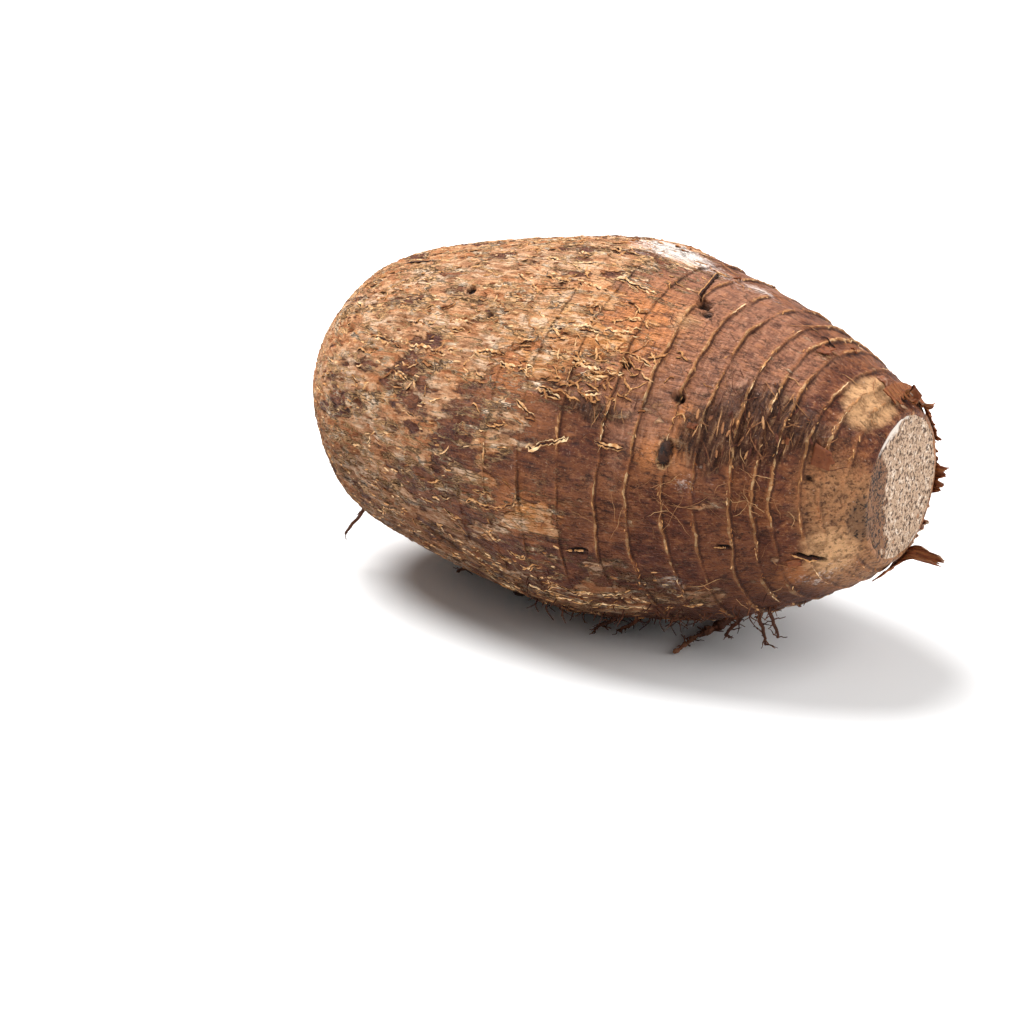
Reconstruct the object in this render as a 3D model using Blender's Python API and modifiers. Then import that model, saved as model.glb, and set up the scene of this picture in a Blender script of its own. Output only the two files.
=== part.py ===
"""A taro corm lying on its side, in metres, with its cut crown towards +X.

The corm is a turned outline whose leaf scars are raised as shingled rings. Its eyes
and dried roots are joined into it, and it rests on a small flat of its belly at z = 0.
A torn collar of dried leaf sheath hugs the far side of the crown."""

import bisect
import math
import random

import bmesh
import bpy
import numpy as np
from mathutils import Vector

MM = 0.001
OBJECT_NAME = "taro_root"

# The corm's outline in millimetres: along from the root end, then out from the axis
OUTLINE = (
    (1.2, 0.0),
    (0.0, 6.0),
    (3.0, 14.0),
    (10.0, 26.0),
    (25.0, 40.0),
    (50.0, 48.5),
    (80.0, 54.0),
    (112.0, 57.0),
    (136.0, 53.0),
    (158.0, 47.5),
    (176.0, 40.5),
    (192.0, 31.5),
    (203.0, 22.0),
)
LENGTH = 203.0
STEPS_PER_SPAN = 24

# How the corm lies: the axis climbs a little towards the crown, and the belly is flattened at z = 0
AXIS_HEIGHT = 55.9
AXIS_CLIMB = 2.1
BELLY_BLOCK = (220.0, 130.0, 20.0)

# Where the corm's middle lies from the middle of the whole part's box
MIDDLE_X = -5.0
MIDDLE_Y = 0.2

# Leaf scars in millimetres along the corm, crowding towards the crown
SCARS = (
    12.0, 21.0, 31.0, 41.5, 52.5, 63.5, 75.0, 86.0, 97.0, 108.0, 120.0,
    132.5, 142.5, 153.0, 161.5, 170.8, 177.5, 182.5, 189.8, 194.5, 198.8,
)
SCAR_HEIGHT_ROOT_END = 0.5
SCAR_HEIGHT_CROWN = 1.15
SCAR_DROP_WIDTH = 0.9
SCAR_WAVER = 1.3
SCAR_WAVER_TURN = math.radians(52.0)
SIDES = 54
ROOT_END_ROWS = (1.0, 3.0, 7.0)

# Cork ridges that run along the skin between two scars, on the root half
RIDGE_END = 140.0
RIDGE_HEIGHT = 0.8
RIDGES_PER_RING = 9
RIDGE_SEED = 11
SAME_PLACE = 0.01

# Crown cut: the rim is worn round
RIM_DEPTH = 1.2
RIM_WEAR = 0.9

# Eyes: along, degrees round from the top towards -Y, then their half sizes along, round and out
EYES = ((151.7, 72.0), (118.0, 205.0), (137.0, 300.0), (84.0, 160.0))
EYE_HALF_SIZE = (3.0, 4.6, 2.4)

# Dried roots: points in millimetres from the corm's middle on the floor, then the thickness
LONG_ROOT = (
    (50.0, 13.0, 15.0),
    (49.0, 10.0, 7.0),
    (46.5, 5.0, 2.6),
    (44.4, -5.0, 1.4),
    (43.2, -15.0, 1.3),
    (43.6, -28.0, 1.1),
)
LONG_ROOT_THICKNESS = 1.7
ROOT_POINT_GAP = 2.6
ROOT_CLUMPS = ((0.36, 2.3), (0.52, 1.9), (0.64, 1.6))
# Short roots of the underside: along, degrees round, length, how far the tip leans along and droops
SHORT_ROOTS = (
    (167.0, 160.0, 7.0, 3.0, 2.0),
    (173.0, 151.0, 5.5, 4.0, 3.0),
    (158.0, 165.0, 5.5, -4.0, 2.0),
    (128.0, 157.0, 5.0, -5.0, 2.0),
    (122.0, 154.0, 4.5, -6.0, 2.0),
    (134.0, 203.0, 4.5, 5.0, 2.0),
    (60.0, 168.0, 5.0, -5.0, 2.0),
    (42.0, 190.0, 6.0, -4.0, 2.0),
    (27.0, 146.0, 6.0, -5.0, 4.0),
    (19.0, 228.0, 5.5, -5.0, 4.0),
)
SHORT_ROOT_THICKNESS = 1.5
ROOT_SUNK = 4.0
LOWEST_ROOT = 0.9

# Sheath collar: the span that it hugs, its width on the corm and its thickness
COLLAR_START = 172.0
COLLAR_END = 366.0
COLLAR_COLUMNS = 98
COLLAR_ROWS = 6
COLLAR_BENDS = 14
COLLAR_WIDTH = 6.5
COLLAR_THICKNESS = 0.7
COLLAR_GAP = 0.45
COLLAR_RAGGED = 1.6
COLLAR_OPENING_RUN = 3.0
# Flaps of the collar: degrees round, half width in degrees, length, opening angle, curl in degrees a millimetre
FLAPS = (
    (199.0, 8.0, 12.0, 48.0, 0.0),
    (224.0, 6.0, 2.5, 25.0, 0.0),
    (260.0, 15.0, 3.6, 62.0, 0.0),
    (292.0, 7.0, 2.0, 30.0, 0.0),
    (326.0, 6.0, 3.5, 45.0, 6.0),
    (345.0, 6.0, 9.0, 50.0, 26.0),
)
COLLAR_OPENING = 12.0


def clear_scene():
    for thing in list(bpy.data.objects):
        bpy.data.objects.remove(thing, do_unlink=True)


def new_collection(name):
    collection = bpy.data.collections.new(name)
    bpy.context.scene.collection.children.link(collection)
    return collection


def new_object(name, mesh, collection):
    thing = bpy.data.objects.new(name, mesh)
    collection.objects.link(thing)
    return thing


def plain_material(name, colour, roughness):
    material = bpy.data.materials.new(name)
    material.use_nodes = True
    shader = material.node_tree.nodes["Principled BSDF"]
    shader.inputs["Base Color"].default_value = (*colour, 1.0)
    shader.inputs["Roughness"].default_value = roughness
    shader.inputs["Metallic"].default_value = 0.0
    material.diffuse_color = (*colour, 1.0)
    return material


def evaluated_mesh(thing):
    bpy.context.view_layer.update()
    graph = bpy.context.evaluated_depsgraph_get()
    return bpy.data.meshes.new_from_object(thing.evaluated_get(graph))


def curve_through(points, steps):
    """Points of a smooth curve through the given ones, which the first one's mirror image leads in to."""
    points = np.array(points, float)
    before = (points[1][0], -points[1][1])
    after = 2 * points[-1] - points[-2]
    points = np.vstack([before, points, after])
    parts = np.linspace(0.0, 1.0, steps, endpoint=False)[:, None]
    curve = []
    for a, b, c, d in zip(points[:-3], points[1:-2], points[2:-1], points[3:]):
        linear = (c - a) * parts
        square = (2 * a - 5 * b + 4 * c - d) * parts**2
        cube = (3 * b - a - 3 * c + d) * parts**3
        curve.append(0.5 * (2 * b + linear + square + cube))
    curve.append(points[-2:-1])
    return np.vstack(curve)


OUTLINE_CURVE = curve_through(OUTLINE, STEPS_PER_SPAN)
WIDE_PART = OUTLINE_CURVE[np.argmin(OUTLINE_CURVE[:, 0]):]


def outline_radius(along):
    """Distance of the skin from the axis, past the dimple of the root end."""
    return np.interp(along, WIDE_PART[:, 0], WIDE_PART[:, 1])


def axis_height(along):
    return AXIS_HEIGHT + AXIS_CLIMB * (along / LENGTH - 0.5)


def end_fade(along, root_reach, crown_reach):
    """1 along the body, falling to 0 at both ends."""
    faded = np.minimum(along / root_reach, (LENGTH - along) / crown_reach)
    return np.clip(faded, 0.0, 1.0)


def scar_height(along):
    return SCAR_HEIGHT_ROOT_END + (SCAR_HEIGHT_CROWN - SCAR_HEIGHT_ROOT_END) * along / LENGTH


def waver(along, turn):
    """How far a leaf scar strays along the corm on its way round."""
    strays = (
        -SCAR_WAVER * np.cos(2 * (turn - SCAR_WAVER_TURN))
        + 0.7 * np.sin(turn + 0.05 * along)
        + 0.5 * np.sin(3 * turn + 0.13 * along)
    )
    return strays * end_fade(along, 30.0, 9.0)


def lumps(along, turn):
    """Slow unevenness of the body, in millimetres out."""
    uneven = (
        0.7 * np.sin(2 * turn + 0.021 * along + 1.0)
        + 0.6 * np.sin(3 * turn - 0.037 * along)
        + 0.4 * np.sin(5 * turn + 0.083 * along)
    )
    return uneven * end_fade(along, 25.0, 14.0)


def profile_rows():
    """(along, out) of each turned row: four to a leaf scar, with the steep drop on its crown side."""
    rows = list(OUTLINE[:2])
    rows += [(along, float(outline_radius(along))) for along in ROOT_END_ROWS]
    rim = LENGTH - RIM_DEPTH
    for scar, following in zip(SCARS, (*SCARS[1:], rim)):
        height = scar_height(scar)
        hollow = scar + SCAR_DROP_WIDTH
        gap = following - hollow
        for along, lift in (
            (scar, 0.7 * height),
            (hollow, -0.4 * height),
            (hollow + 0.42 * gap, 0.0),
            (hollow + 0.8 * gap, 0.35 * height),
        ):
            rows.append((along, float(outline_radius(along)) + lift))
    rows.append((rim, float(outline_radius(rim))))
    rows.append((LENGTH, float(outline_radius(LENGTH)) - RIM_WEAR))
    rows.append((LENGTH, 0.0))
    return rows


def turned_blank(rows, collection):
    """The rows turned about the X axis, as a plain closed mesh in millimetres."""
    mesh = bpy.data.meshes.new("outline")
    points = [(along, 0.0, out) for along, out in rows]
    mesh.from_pydata(points, [(i, i + 1) for i in range(len(points) - 1)], [])
    blank = new_object("outline", mesh, collection)
    screw = blank.modifiers.new("turn", "SCREW")
    screw.axis = "X"
    screw.angle = math.tau
    screw.steps = SIDES
    screw.render_steps = SIDES
    screw.use_merge_vertices = True
    screw.merge_threshold = 0.0001
    turned = evaluated_mesh(blank)
    bpy.data.objects.remove(blank, do_unlink=True)
    bpy.data.meshes.remove(mesh)
    cage = bmesh.new()
    cage.from_mesh(turned)
    bmesh.ops.remove_doubles(cage, verts=cage.verts, dist=0.0001)
    bmesh.ops.recalc_face_normals(cage, faces=cage.faces)
    cage.to_mesh(turned)
    cage.free()
    return turned


def ridge_columns():
    """For each ring of the root half, the columns that a cork ridge runs along."""
    draw = random.Random(RIDGE_SEED)
    return [set(draw.sample(range(SIDES), RIDGES_PER_RING)) for scar in SCARS if scar < RIDGE_END]


def ridge_lift(along, turn, ridges):
    """Height of the cork ridge there: one fills a column from its leaf scar to just before the next."""
    ring = bisect.bisect(SCARS, along + SAME_PLACE) - 1
    if not 0 <= ring < len(ridges) or along - SCARS[ring] < SAME_PLACE:
        return 0.0
    column = round(turn / math.tau * SIDES) % SIDES
    return RIDGE_HEIGHT if column in ridges[ring] else 0.0


def shape_corm(mesh):
    """Moves the turned points: scars waver, ridges rise, the body turns lumpy and its axis climbs."""
    ridges = ridge_columns()
    for point in mesh.vertices:
        along, y, z = point.co
        out = math.hypot(y, z)
        turn = math.atan2(-y, z)
        strayed = along + float(waver(along, turn))
        if out > SAME_PLACE and 0.0 < along < LENGTH:
            out += float(outline_radius(strayed) - outline_radius(along))
            out += float(lumps(strayed, turn)) + ridge_lift(along, turn, ridges)
        point.co = in_place(strayed, turn, out)


def in_place(along, turn, out):
    """The point so far along, round and out from the axis, in metres."""
    x = along - LENGTH / 2 + MIDDLE_X
    y = MIDDLE_Y - out * math.sin(turn)
    return Vector((x, y, float(axis_height(along)) + out * math.cos(turn))) * MM


def skin_place(along, degrees):
    """The point of the smooth skin so far along and round."""
    turn = math.radians(degrees)
    return in_place(along, turn, float(outline_radius(along) + lumps(along, turn)))


def outward(along, degrees):
    """The direction that faces straight out of the skin."""
    slope = float(outline_radius(along + 1.0) - outline_radius(along - 1.0)) / 2
    turn = math.radians(degrees)
    return Vector((-slope, -math.sin(turn), math.cos(turn))).normalized()


def mesh_object_of_curve(name, points, thickness, taper, collection):
    """A tapering tube through the points, as a closed mesh."""
    curve = bpy.data.curves.new(name, "CURVE")
    curve.dimensions = "3D"
    curve.bevel_depth = thickness * MM / 2
    curve.bevel_resolution = 1
    curve.use_fill_caps = True
    spline = curve.splines.new("POLY")
    spline.points.add(len(points) - 1)
    for i, (target, place) in enumerate(zip(spline.points, points)):
        target.co = (*place, 1.0)
        target.radius = 1.0 - taper * i / (len(points) - 1)
    tube = new_object(name, curve, collection)
    mesh = evaluated_mesh(tube)
    cage = bmesh.new()
    cage.from_mesh(mesh)
    bmesh.ops.remove_doubles(cage, verts=cage.verts, dist=0.00001)
    cage.to_mesh(mesh)
    cage.free()
    solid = new_object(name + "_solid", mesh, collection)
    solid.matrix_world = tube.matrix_world
    bpy.data.objects.remove(tube, do_unlink=True)
    bpy.data.curves.remove(curve)
    return solid


def even_points(corners, gap):
    """Points a set gap apart along a smooth line through the corners."""
    corners = np.array(corners, float)
    corners = np.vstack([2 * corners[0] - corners[1], corners, 2 * corners[-1] - corners[-2]])
    parts = np.linspace(0.0, 1.0, STEPS_PER_SPAN, endpoint=False)[:, None]
    line = []
    for a, b, c, d in zip(corners[:-3], corners[1:-2], corners[2:-1], corners[3:]):
        square = (2 * a - 5 * b + 4 * c - d) * parts**2
        cube = (3 * b - a - 3 * c + d) * parts**3
        line.append(0.5 * (2 * b + (c - a) * parts + square + cube))
    line = np.vstack([*line, corners[-2:-1]])
    run = np.concatenate([[0.0], np.cumsum(np.linalg.norm(np.diff(line, axis=0), axis=1))])
    marks = np.linspace(0.0, run[-1], round(run[-1] / gap) + 1)
    return np.column_stack([np.interp(marks, run, line[:, axis]) for axis in range(3)])


def add_ball(name, centre, half_size, axes, collection):
    """An ellipsoid whose half sizes lie along the three given axes."""
    cage = bmesh.new()
    bmesh.ops.create_uvsphere(cage, u_segments=10, v_segments=6, radius=1.0)
    for point in cage.verts:
        sides = zip(point.co, half_size, axes)
        point.co = sum((axis * (part * size * MM) for part, size, axis in sides), centre.copy())
    bmesh.ops.recalc_face_normals(cage, faces=cage.faces)
    mesh = bpy.data.meshes.new(name)
    cage.to_mesh(mesh)
    cage.free()
    return new_object(name, mesh, collection)


def add_eyes(collection):
    for number, (along, degrees) in enumerate(EYES):
        out = outward(along, degrees)
        around = out.cross(Vector((1.0, 0.0, 0.0))).normalized()
        down_the_body = around.cross(out)
        centre = skin_place(along, degrees)
        add_ball(f"eye_{number}", centre, EYE_HALF_SIZE, (down_the_body, around, out), collection)


def add_long_root(collection):
    middle = np.array((MIDDLE_X, MIDDLE_Y, 0.0))
    points = (even_points(LONG_ROOT, ROOT_POINT_GAP) + middle) * MM
    mesh_object_of_curve("long_root", points, LONG_ROOT_THICKNESS, 0.45, collection)
    for number, (share, size) in enumerate(ROOT_CLUMPS):
        centre = Vector(points[round(share * (len(points) - 1))])
        centre.z = max(centre.z, 0.5 * size * MM)
        half_size = (size, 1.3 * size, 0.45 * size)
        axes = (Vector((1, 0, 0)), Vector((0, 1, 0)), Vector((0, 0, 1)))
        add_ball(f"clump_{number}", centre, half_size, axes, collection)


def add_short_roots(collection):
    for number, (along, degrees, length, lean, droop) in enumerate(SHORT_ROOTS):
        out = outward(along, degrees)
        foot = skin_place(along, degrees)
        middle = foot + out * (0.6 * length * MM)
        tip = foot + (out * length + Vector((lean, 0.0, -droop))) * MM
        tip.z = max(tip.z, LOWEST_ROOT * MM)
        points = [foot - out * ROOT_SUNK * MM, foot, middle, foot.lerp(tip, 0.85), tip]
        mesh_object_of_curve(f"short_root_{number}", points, SHORT_ROOT_THICKNESS, 0.5, collection)


def join_to(body, helpers):
    """Joins everything in the helper collection into the body by one union, then removes the helpers."""
    union = body.modifiers.new("grown_on", "BOOLEAN")
    union.operation = "UNION"
    union.operand_type = "COLLECTION"
    union.collection = helpers
    union.solver = "EXACT"
    joined = evaluated_mesh(body)
    body.modifiers.remove(union)
    blank = body.data
    body.data = joined
    bpy.data.meshes.remove(blank)
    for thing in list(helpers.objects):
        bpy.data.objects.remove(thing, do_unlink=True)
    bpy.data.collections.remove(helpers)


def add_corm(collection, cutters):
    mesh = turned_blank(profile_rows(), collection)
    shape_corm(mesh)
    corm = new_object("corm", mesh, collection)
    helpers = new_collection("growths")
    add_eyes(helpers)
    add_long_root(helpers)
    add_short_roots(helpers)
    join_to(corm, helpers)
    flatten_belly(corm, cutters)
    corm.data.materials.clear()
    corm.data.materials.append(plain_material("bark_skin", (0.16, 0.075, 0.035), 0.8))
    corm.data.shade_smooth()
    corm.data.set_sharp_from_angle(angle=math.radians(40.0))
    return corm


def flatten_belly(corm, cutters):
    cage = bmesh.new()
    bmesh.ops.create_cube(cage, size=1.0)
    bmesh.ops.scale(cage, vec=Vector(BELLY_BLOCK) * MM, verts=cage.verts)
    bmesh.ops.translate(cage, vec=(0.0, 0.0, -BELLY_BLOCK[2] / 2 * MM), verts=cage.verts)
    mesh = bpy.data.meshes.new("belly_cutter")
    cage.to_mesh(mesh)
    cage.free()
    cutter = new_object("belly_cutter", mesh, cutters)
    cutter.hide_render = True
    cutter.display_type = "WIRE"
    cut = corm.modifiers.new("belly_flat", "BOOLEAN")
    cut.operation = "DIFFERENCE"
    cut.solver = "EXACT"
    cut.object = cutter


def collar_edge(degrees):
    """(reach, opening, curl) of the torn edge there: how far it stands past the rim and how it turns away."""
    ragged = COLLAR_RAGGED * math.sin(0.31 * degrees) * math.sin(0.83 * degrees + 1.0)
    edge = np.array((ragged - 1.2, COLLAR_OPENING, 0.0))
    for centre, half_width, length, opening, curl in FLAPS:
        share = min(1.0, 1.8 * max(0.0, 1.0 - abs(degrees - centre) / half_width))
        edge += share * np.array((length, opening - COLLAR_OPENING, curl))
    return edge


def collar_point(degrees, row):
    """A point of the collar's inner face: it follows the skin to the rim, then turns away."""
    reach, opening, curl = collar_edge(degrees)
    run = (COLLAR_WIDTH + reach) * row / (COLLAR_ROWS - 1)
    rim = LENGTH - RIM_DEPTH
    slope = float(outline_radius(rim) - outline_radius(rim - COLLAR_WIDTH)) / COLLAR_WIDTH
    heading = math.atan(slope)
    along = rim - COLLAR_WIDTH * math.cos(heading)
    out = float(outline_radius(along)) + COLLAR_GAP + scar_height(LENGTH)
    for step in range(COLLAR_BENDS):
        past_rim = max(0.0, run * (step + 0.5) / COLLAR_BENDS - COLLAR_WIDTH + 1.0)
        opened = opening * min(1.0, past_rim / COLLAR_OPENING_RUN)
        bend = math.radians(opened + curl * past_rim)
        along += run / COLLAR_BENDS * math.cos(heading + bend)
        out += run / COLLAR_BENDS * math.sin(heading + bend)
    return in_place(along, math.radians(degrees), out)


def add_collar(collection):
    cage = bmesh.new()
    grid = []
    for column in range(COLLAR_COLUMNS + 1):
        degrees = COLLAR_START + (COLLAR_END - COLLAR_START) * column / COLLAR_COLUMNS
        grid.append([cage.verts.new(collar_point(degrees, row)) for row in range(COLLAR_ROWS)])
    for here, there in zip(grid[:-1], grid[1:]):
        for row in range(COLLAR_ROWS - 1):
            cage.faces.new((here[row], there[row], there[row + 1], here[row + 1]))
    bmesh.ops.triangulate(cage, faces=cage.faces)
    mesh = bpy.data.meshes.new("sheath_collar")
    cage.to_mesh(mesh)
    cage.free()
    collar = new_object("sheath_collar", mesh, collection)
    solidify = collar.modifiers.new("papery_wall", "SOLIDIFY")
    solidify.thickness = COLLAR_THICKNESS * MM
    solidify.offset = 1.0
    solidify.use_even_offset = False
    mesh.materials.append(plain_material("dry_sheath", (0.35, 0.17, 0.08), 0.7))
    return collar


def main():
    clear_scene()
    parts = new_collection(OBJECT_NAME)
    cutters = new_collection("cutters")
    add_corm(parts, cutters)
    add_collar(parts)


main()
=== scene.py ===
"""Dresses a taro corm lying on its side: its ringed corky skin, the cork that splits it, its cut
crown, the torn leaf sheath round the crown and its dried roots, in a pale studio.

Places on the corm are millimetres along it from the root end, and degrees round it from the
top towards -Y. In the meshes everything is in metres."""

import math
import random

import bmesh
import bpy
import numpy as np
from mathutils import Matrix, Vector, noise


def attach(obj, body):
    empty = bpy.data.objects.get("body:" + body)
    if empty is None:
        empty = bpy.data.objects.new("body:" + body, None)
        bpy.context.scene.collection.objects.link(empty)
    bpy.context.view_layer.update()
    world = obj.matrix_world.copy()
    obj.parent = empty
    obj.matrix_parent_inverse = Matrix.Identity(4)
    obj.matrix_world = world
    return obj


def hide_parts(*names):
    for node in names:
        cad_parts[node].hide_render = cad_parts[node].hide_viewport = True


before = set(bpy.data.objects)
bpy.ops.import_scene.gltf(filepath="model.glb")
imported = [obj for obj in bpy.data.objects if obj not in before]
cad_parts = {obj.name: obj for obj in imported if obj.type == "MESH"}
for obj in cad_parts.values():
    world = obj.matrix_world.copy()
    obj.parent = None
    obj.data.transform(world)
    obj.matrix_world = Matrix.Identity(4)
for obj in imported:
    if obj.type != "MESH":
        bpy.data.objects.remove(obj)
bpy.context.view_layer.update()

bl_info = {
    "name": "Taro corm",
    "version": (1, 0, 0),
    "blender": (4, 5, 0),
    "location": "3D View > Sidebar > Taro",
    "description": "Builds the skin, cork, crown, sheath and roots of a taro corm",
    "category": "Add Mesh",
}

MM = 0.001
SQUARE_CENTIMETRES = 10000.0  # in a square metre

# The corm's outline, as in its solid: millimetres along from the root end, then out
OUTLINE = (
    (1.2, 0.0), (0.0, 6.0), (3.0, 14.0), (10.0, 26.0), (25.0, 40.0), (50.0, 48.5), (80.0, 54.0),
    (112.0, 57.0), (136.0, 53.0), (158.0, 47.5), (176.0, 40.5), (192.0, 31.5), (203.0, 22.0),
)
LENGTH = 203.0
STEPS_PER_SPAN = 24
AXIS_HEIGHT = 55.9
AXIS_CLIMB = 2.1
MIDDLE = (-5.0, 0.2)
SCARS = (
    12.0, 21.0, 31.0, 41.5, 52.5, 63.5, 75.0, 86.0, 97.0, 108.0, 120.0,
    132.5, 142.5, 153.0, 161.5, 170.8, 177.5, 182.5, 189.8, 194.5, 198.8,
)
RIM = LENGTH - 1.2

# The skin's grid: rows crowd round each leaf scar, at these distances from its crest.
# The skin is made in two lengths, so that each stays light, and they meet behind this scar
SIDES = 440
NEAR_SCAR = (-1.5, -1.0, -0.6, -0.3, -0.08, 0.08, 0.24, 0.42, 0.7, 1.1, 1.6)
ROW_GAP = 0.78
MEETING_SCAR = 97.0
CROWN_SIDES = 200
# The worn edge of the rim: millimetres past it, then in from it
RIM_EDGE = ((0.0, 0.0), (0.55, 0.25), (0.95, 0.75), (1.15, 1.5), (0.9, 2.6))


def linear(code):
    """An sRGB hex colour as the linear colour that a shader takes."""
    parts = [int(code[i:i + 2], 16) / 255 for i in (1, 3, 5)]
    return (*[p / 12.92 if p <= 0.04045 else ((p + 0.055) / 1.055) ** 2.4 for p in parts], 1.0)


def colour_property(name, description, code):
    """A colour that a user may change, from its sRGB hex code."""
    return bpy.props.FloatVectorProperty(
        name=name, description=description, subtype="COLOR", size=4, min=0.0, max=1.0,
        default=linear(code),
    )


def length_property(name, description, millimetres):
    """A length that a user may change, from its millimetres."""
    return bpy.props.FloatProperty(
        name=name, description=description, default=millimetres * MM, min=0.0,
        subtype="DISTANCE", unit="LENGTH", precision=5,
    )


def number_property(name, description, default):
    """A count or a share that a user may change."""
    kind = bpy.props.IntProperty if isinstance(default, int) else bpy.props.FloatProperty
    return kind(name=name, description=description, default=default, min=0)


class TaroSkinSettings(bpy.types.PropertyGroup):
    """Sizes and colours of the corky skin."""

    scar_height: length_property("Scar height", "Height of a leaf scar's crest at the crown", 0.75)
    crust_height: length_property("Crust height", "Relief of the cork crust", 0.75)
    crust_width: length_property("Crust width", "Width of a ridge of the crust", 3.2)
    crust_length: length_property("Crust length", "Length of a ridge of the crust", 12.0)
    stria_depth: length_property("Stria depth", "Relief of the fine lines along the skin", 0.12)
    fibre_depth: length_property("Fibre depth", "Relief of the matted fibres", 1.8)
    red: colour_property("Red skin", "The skin under the cork", "#5e2e1a")
    brown: colour_property("Brown skin", "Where the skin has weathered", "#7e492b")
    dusk: colour_property("Dusky skin", "The skin between the scars near the crown", "#a26d52")
    cork: colour_property("Cork", "The corky crust", "#be8862")
    pale_cork: colour_property("Pale cork", "Fresh or rubbed cork", "#f9e2c8")
    # This colour also paints the shadow on the crown side of each leaf scar.
    dark: colour_property("Cracks", "Soil and shade in the cracks", "#2c1208")


class TaroCorkSettings(bpy.types.PropertyGroup):
    """Cork lips along the splits of the skin, and loose chips of crust."""

    lip_width: length_property("Lip width", "Width of one lip beside a split", 0.95)
    cracks: number_property("Splits", "How many splits", 150)
    ridges: number_property("Ridges", "Small ridges of cork", 760)
    chip_length: length_property("Chip length", "Length of a chip of crust", 3.4)
    chips: number_property("Chips", "Chips on a square centimetre of crust", 5.0)
    shred_length: length_property("Shred length", "Length of a shred of the mat", 5.2)
    shreds: number_property("Shreds", "Shreds on a square centimetre of mat", 5.0)
    crumb_length: length_property("Crumb length", "Length of a crumb on a leaf scar", 2.2)
    crumbs: number_property("Crumbs", "Crumbs on a square centimetre of leaf scar", 22.0)
    seed: number_property("Seed", "Places the splits and chips", 7)


class TaroFibreSettings(bpy.types.PropertyGroup):
    """Matted fibres and root hairs on the skin."""

    width: length_property("Width", "Thickness of a root hair", 0.3)
    matted: number_property("Matted", "Fibres in the mat", 160)
    loose: number_property("Loose", "Loose hairs", 130)
    seed: number_property("Seed", "Places the fibres", 5)


class TaroCrownSettings(bpy.types.PropertyGroup):
    """The cut crown and the sheath round it."""

    flesh: colour_property("Cut flesh", "The dried cut face", "#b2967c")
    sheath: colour_property("Sheath", "The dried leaf sheath", "#7c4526")
    crinkle: length_property("Crinkle", "Depth of the sheath's crinkles", 0.8)
    wall: length_property("Wall", "Thickness of the papery sheath", 0.35)


class TaroStudioSettings(bpy.types.PropertyGroup):
    """Light and camera."""

    azimuth: bpy.props.FloatProperty(
        name="Azimuth", description="Round from -Y", default=math.radians(34.0), subtype="ANGLE"
    )
    elevation: bpy.props.FloatProperty(
        name="Elevation", description="Above the floor", default=math.radians(21.0), subtype="ANGLE"
    )
    distance: length_property("Distance", "From the camera to what it looks at", 900.0)
    key: number_property("Key", "Strength of the light on the left", 5.4)
    second: number_property("Second", "Strength of the light on the right", 2.7)
    fill: number_property("Fill", "Strength of the room", 0.3)



# The corm's surface


def curve_through(points, steps):
    """Points of a smooth curve through the given ones, which starts from the first one's mirror image."""
    points = np.array(points, float)
    points = np.vstack([(points[1][0], -points[1][1]), points, 2 * points[-1] - points[-2]])
    parts = np.linspace(0.0, 1.0, steps, endpoint=False)[:, None]
    curve = []
    for a, b, c, d in zip(points[:-3], points[1:-2], points[2:-1], points[3:]):
        square = (2 * a - 5 * b + 4 * c - d) * parts**2
        cube = (3 * b - a - 3 * c + d) * parts**3
        curve.append(0.5 * (2 * b + (c - a) * parts + square + cube))
    return np.vstack([*curve, points[-2:-1]])


OUTLINE_CURVE = curve_through(OUTLINE, STEPS_PER_SPAN)
WIDEST_LEFT = int(np.argmin(OUTLINE_CURVE[:, 0]))


def outline_radius(along):
    """Millimetres from the axis to the smooth body, so far along."""
    return np.interp(along, *OUTLINE_CURVE[WIDEST_LEFT:].T)


def axis_height(along):
    """Millimetres from the floor to the axis, so far along."""
    return AXIS_HEIGHT + AXIS_CLIMB * (along / LENGTH - 0.5)


def end_fade(along, root_reach, crown_reach):
    """1 along the corm, falling to 0 over each end's reach."""
    return np.clip(np.minimum(along / root_reach, (LENGTH - along) / crown_reach), 0.0, 1.0)


def waver(along, turn):
    """How far a leaf scar strays along the corm on its way round."""
    strays = (
        -1.3 * np.cos(2 * (turn - math.radians(52.0)))
        + 0.7 * np.sin(turn + 0.05 * along)
        + 0.5 * np.sin(3 * turn + 0.13 * along)
    )
    return strays * end_fade(along, 30.0, 9.0)


def lumps(along, turn):
    """Slow unevenness of the body, in millimetres out."""
    uneven = (
        0.7 * np.sin(2 * turn + 0.021 * along + 1.0)
        + 0.6 * np.sin(3 * turn - 0.037 * along)
        + 0.4 * np.sin(5 * turn + 0.083 * along)
    )
    return uneven * end_fade(along, 25.0, 14.0)


def scar_profile(along, height):
    """Height of the shingled rings: they climb to each leaf scar and drop on its crown side."""
    marks, lifts = [0.0], [0.0]
    for scar, following in zip(SCARS, (*SCARS[1:], RIM)):
        gap = following - scar
        tall = height * np.interp(scar, (0, 80, 100, 160, 203), (0.12, 0.2, 0.65, 0.9, 1.0))
        steps = ((-1.0, 0.55), (-0.25, 0.8), (0.0, 1.0), (0.26, -0.1), (0.7, -0.28), (1.3, -0.25))
        marks += [scar + step for step, _ in steps] + [scar + 1.3 + 0.3 * gap, scar + 0.75 * gap]
        lifts += [tall * share for _, share in steps] + [-0.1 * tall, 0.22 * tall]
    order = np.argsort(marks)
    return np.interp(along, np.array(marks)[order], np.array(lifts)[order])


def in_place(along, turn, out):
    """Points in metres, so far along, round and out from the axis."""
    x = along - LENGTH / 2 + MIDDLE[0]
    y = MIDDLE[1] - out * np.sin(turn)
    return np.stack([x + 0 * y, y, axis_height(along) + out * np.cos(turn)], -1) * MM


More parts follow.
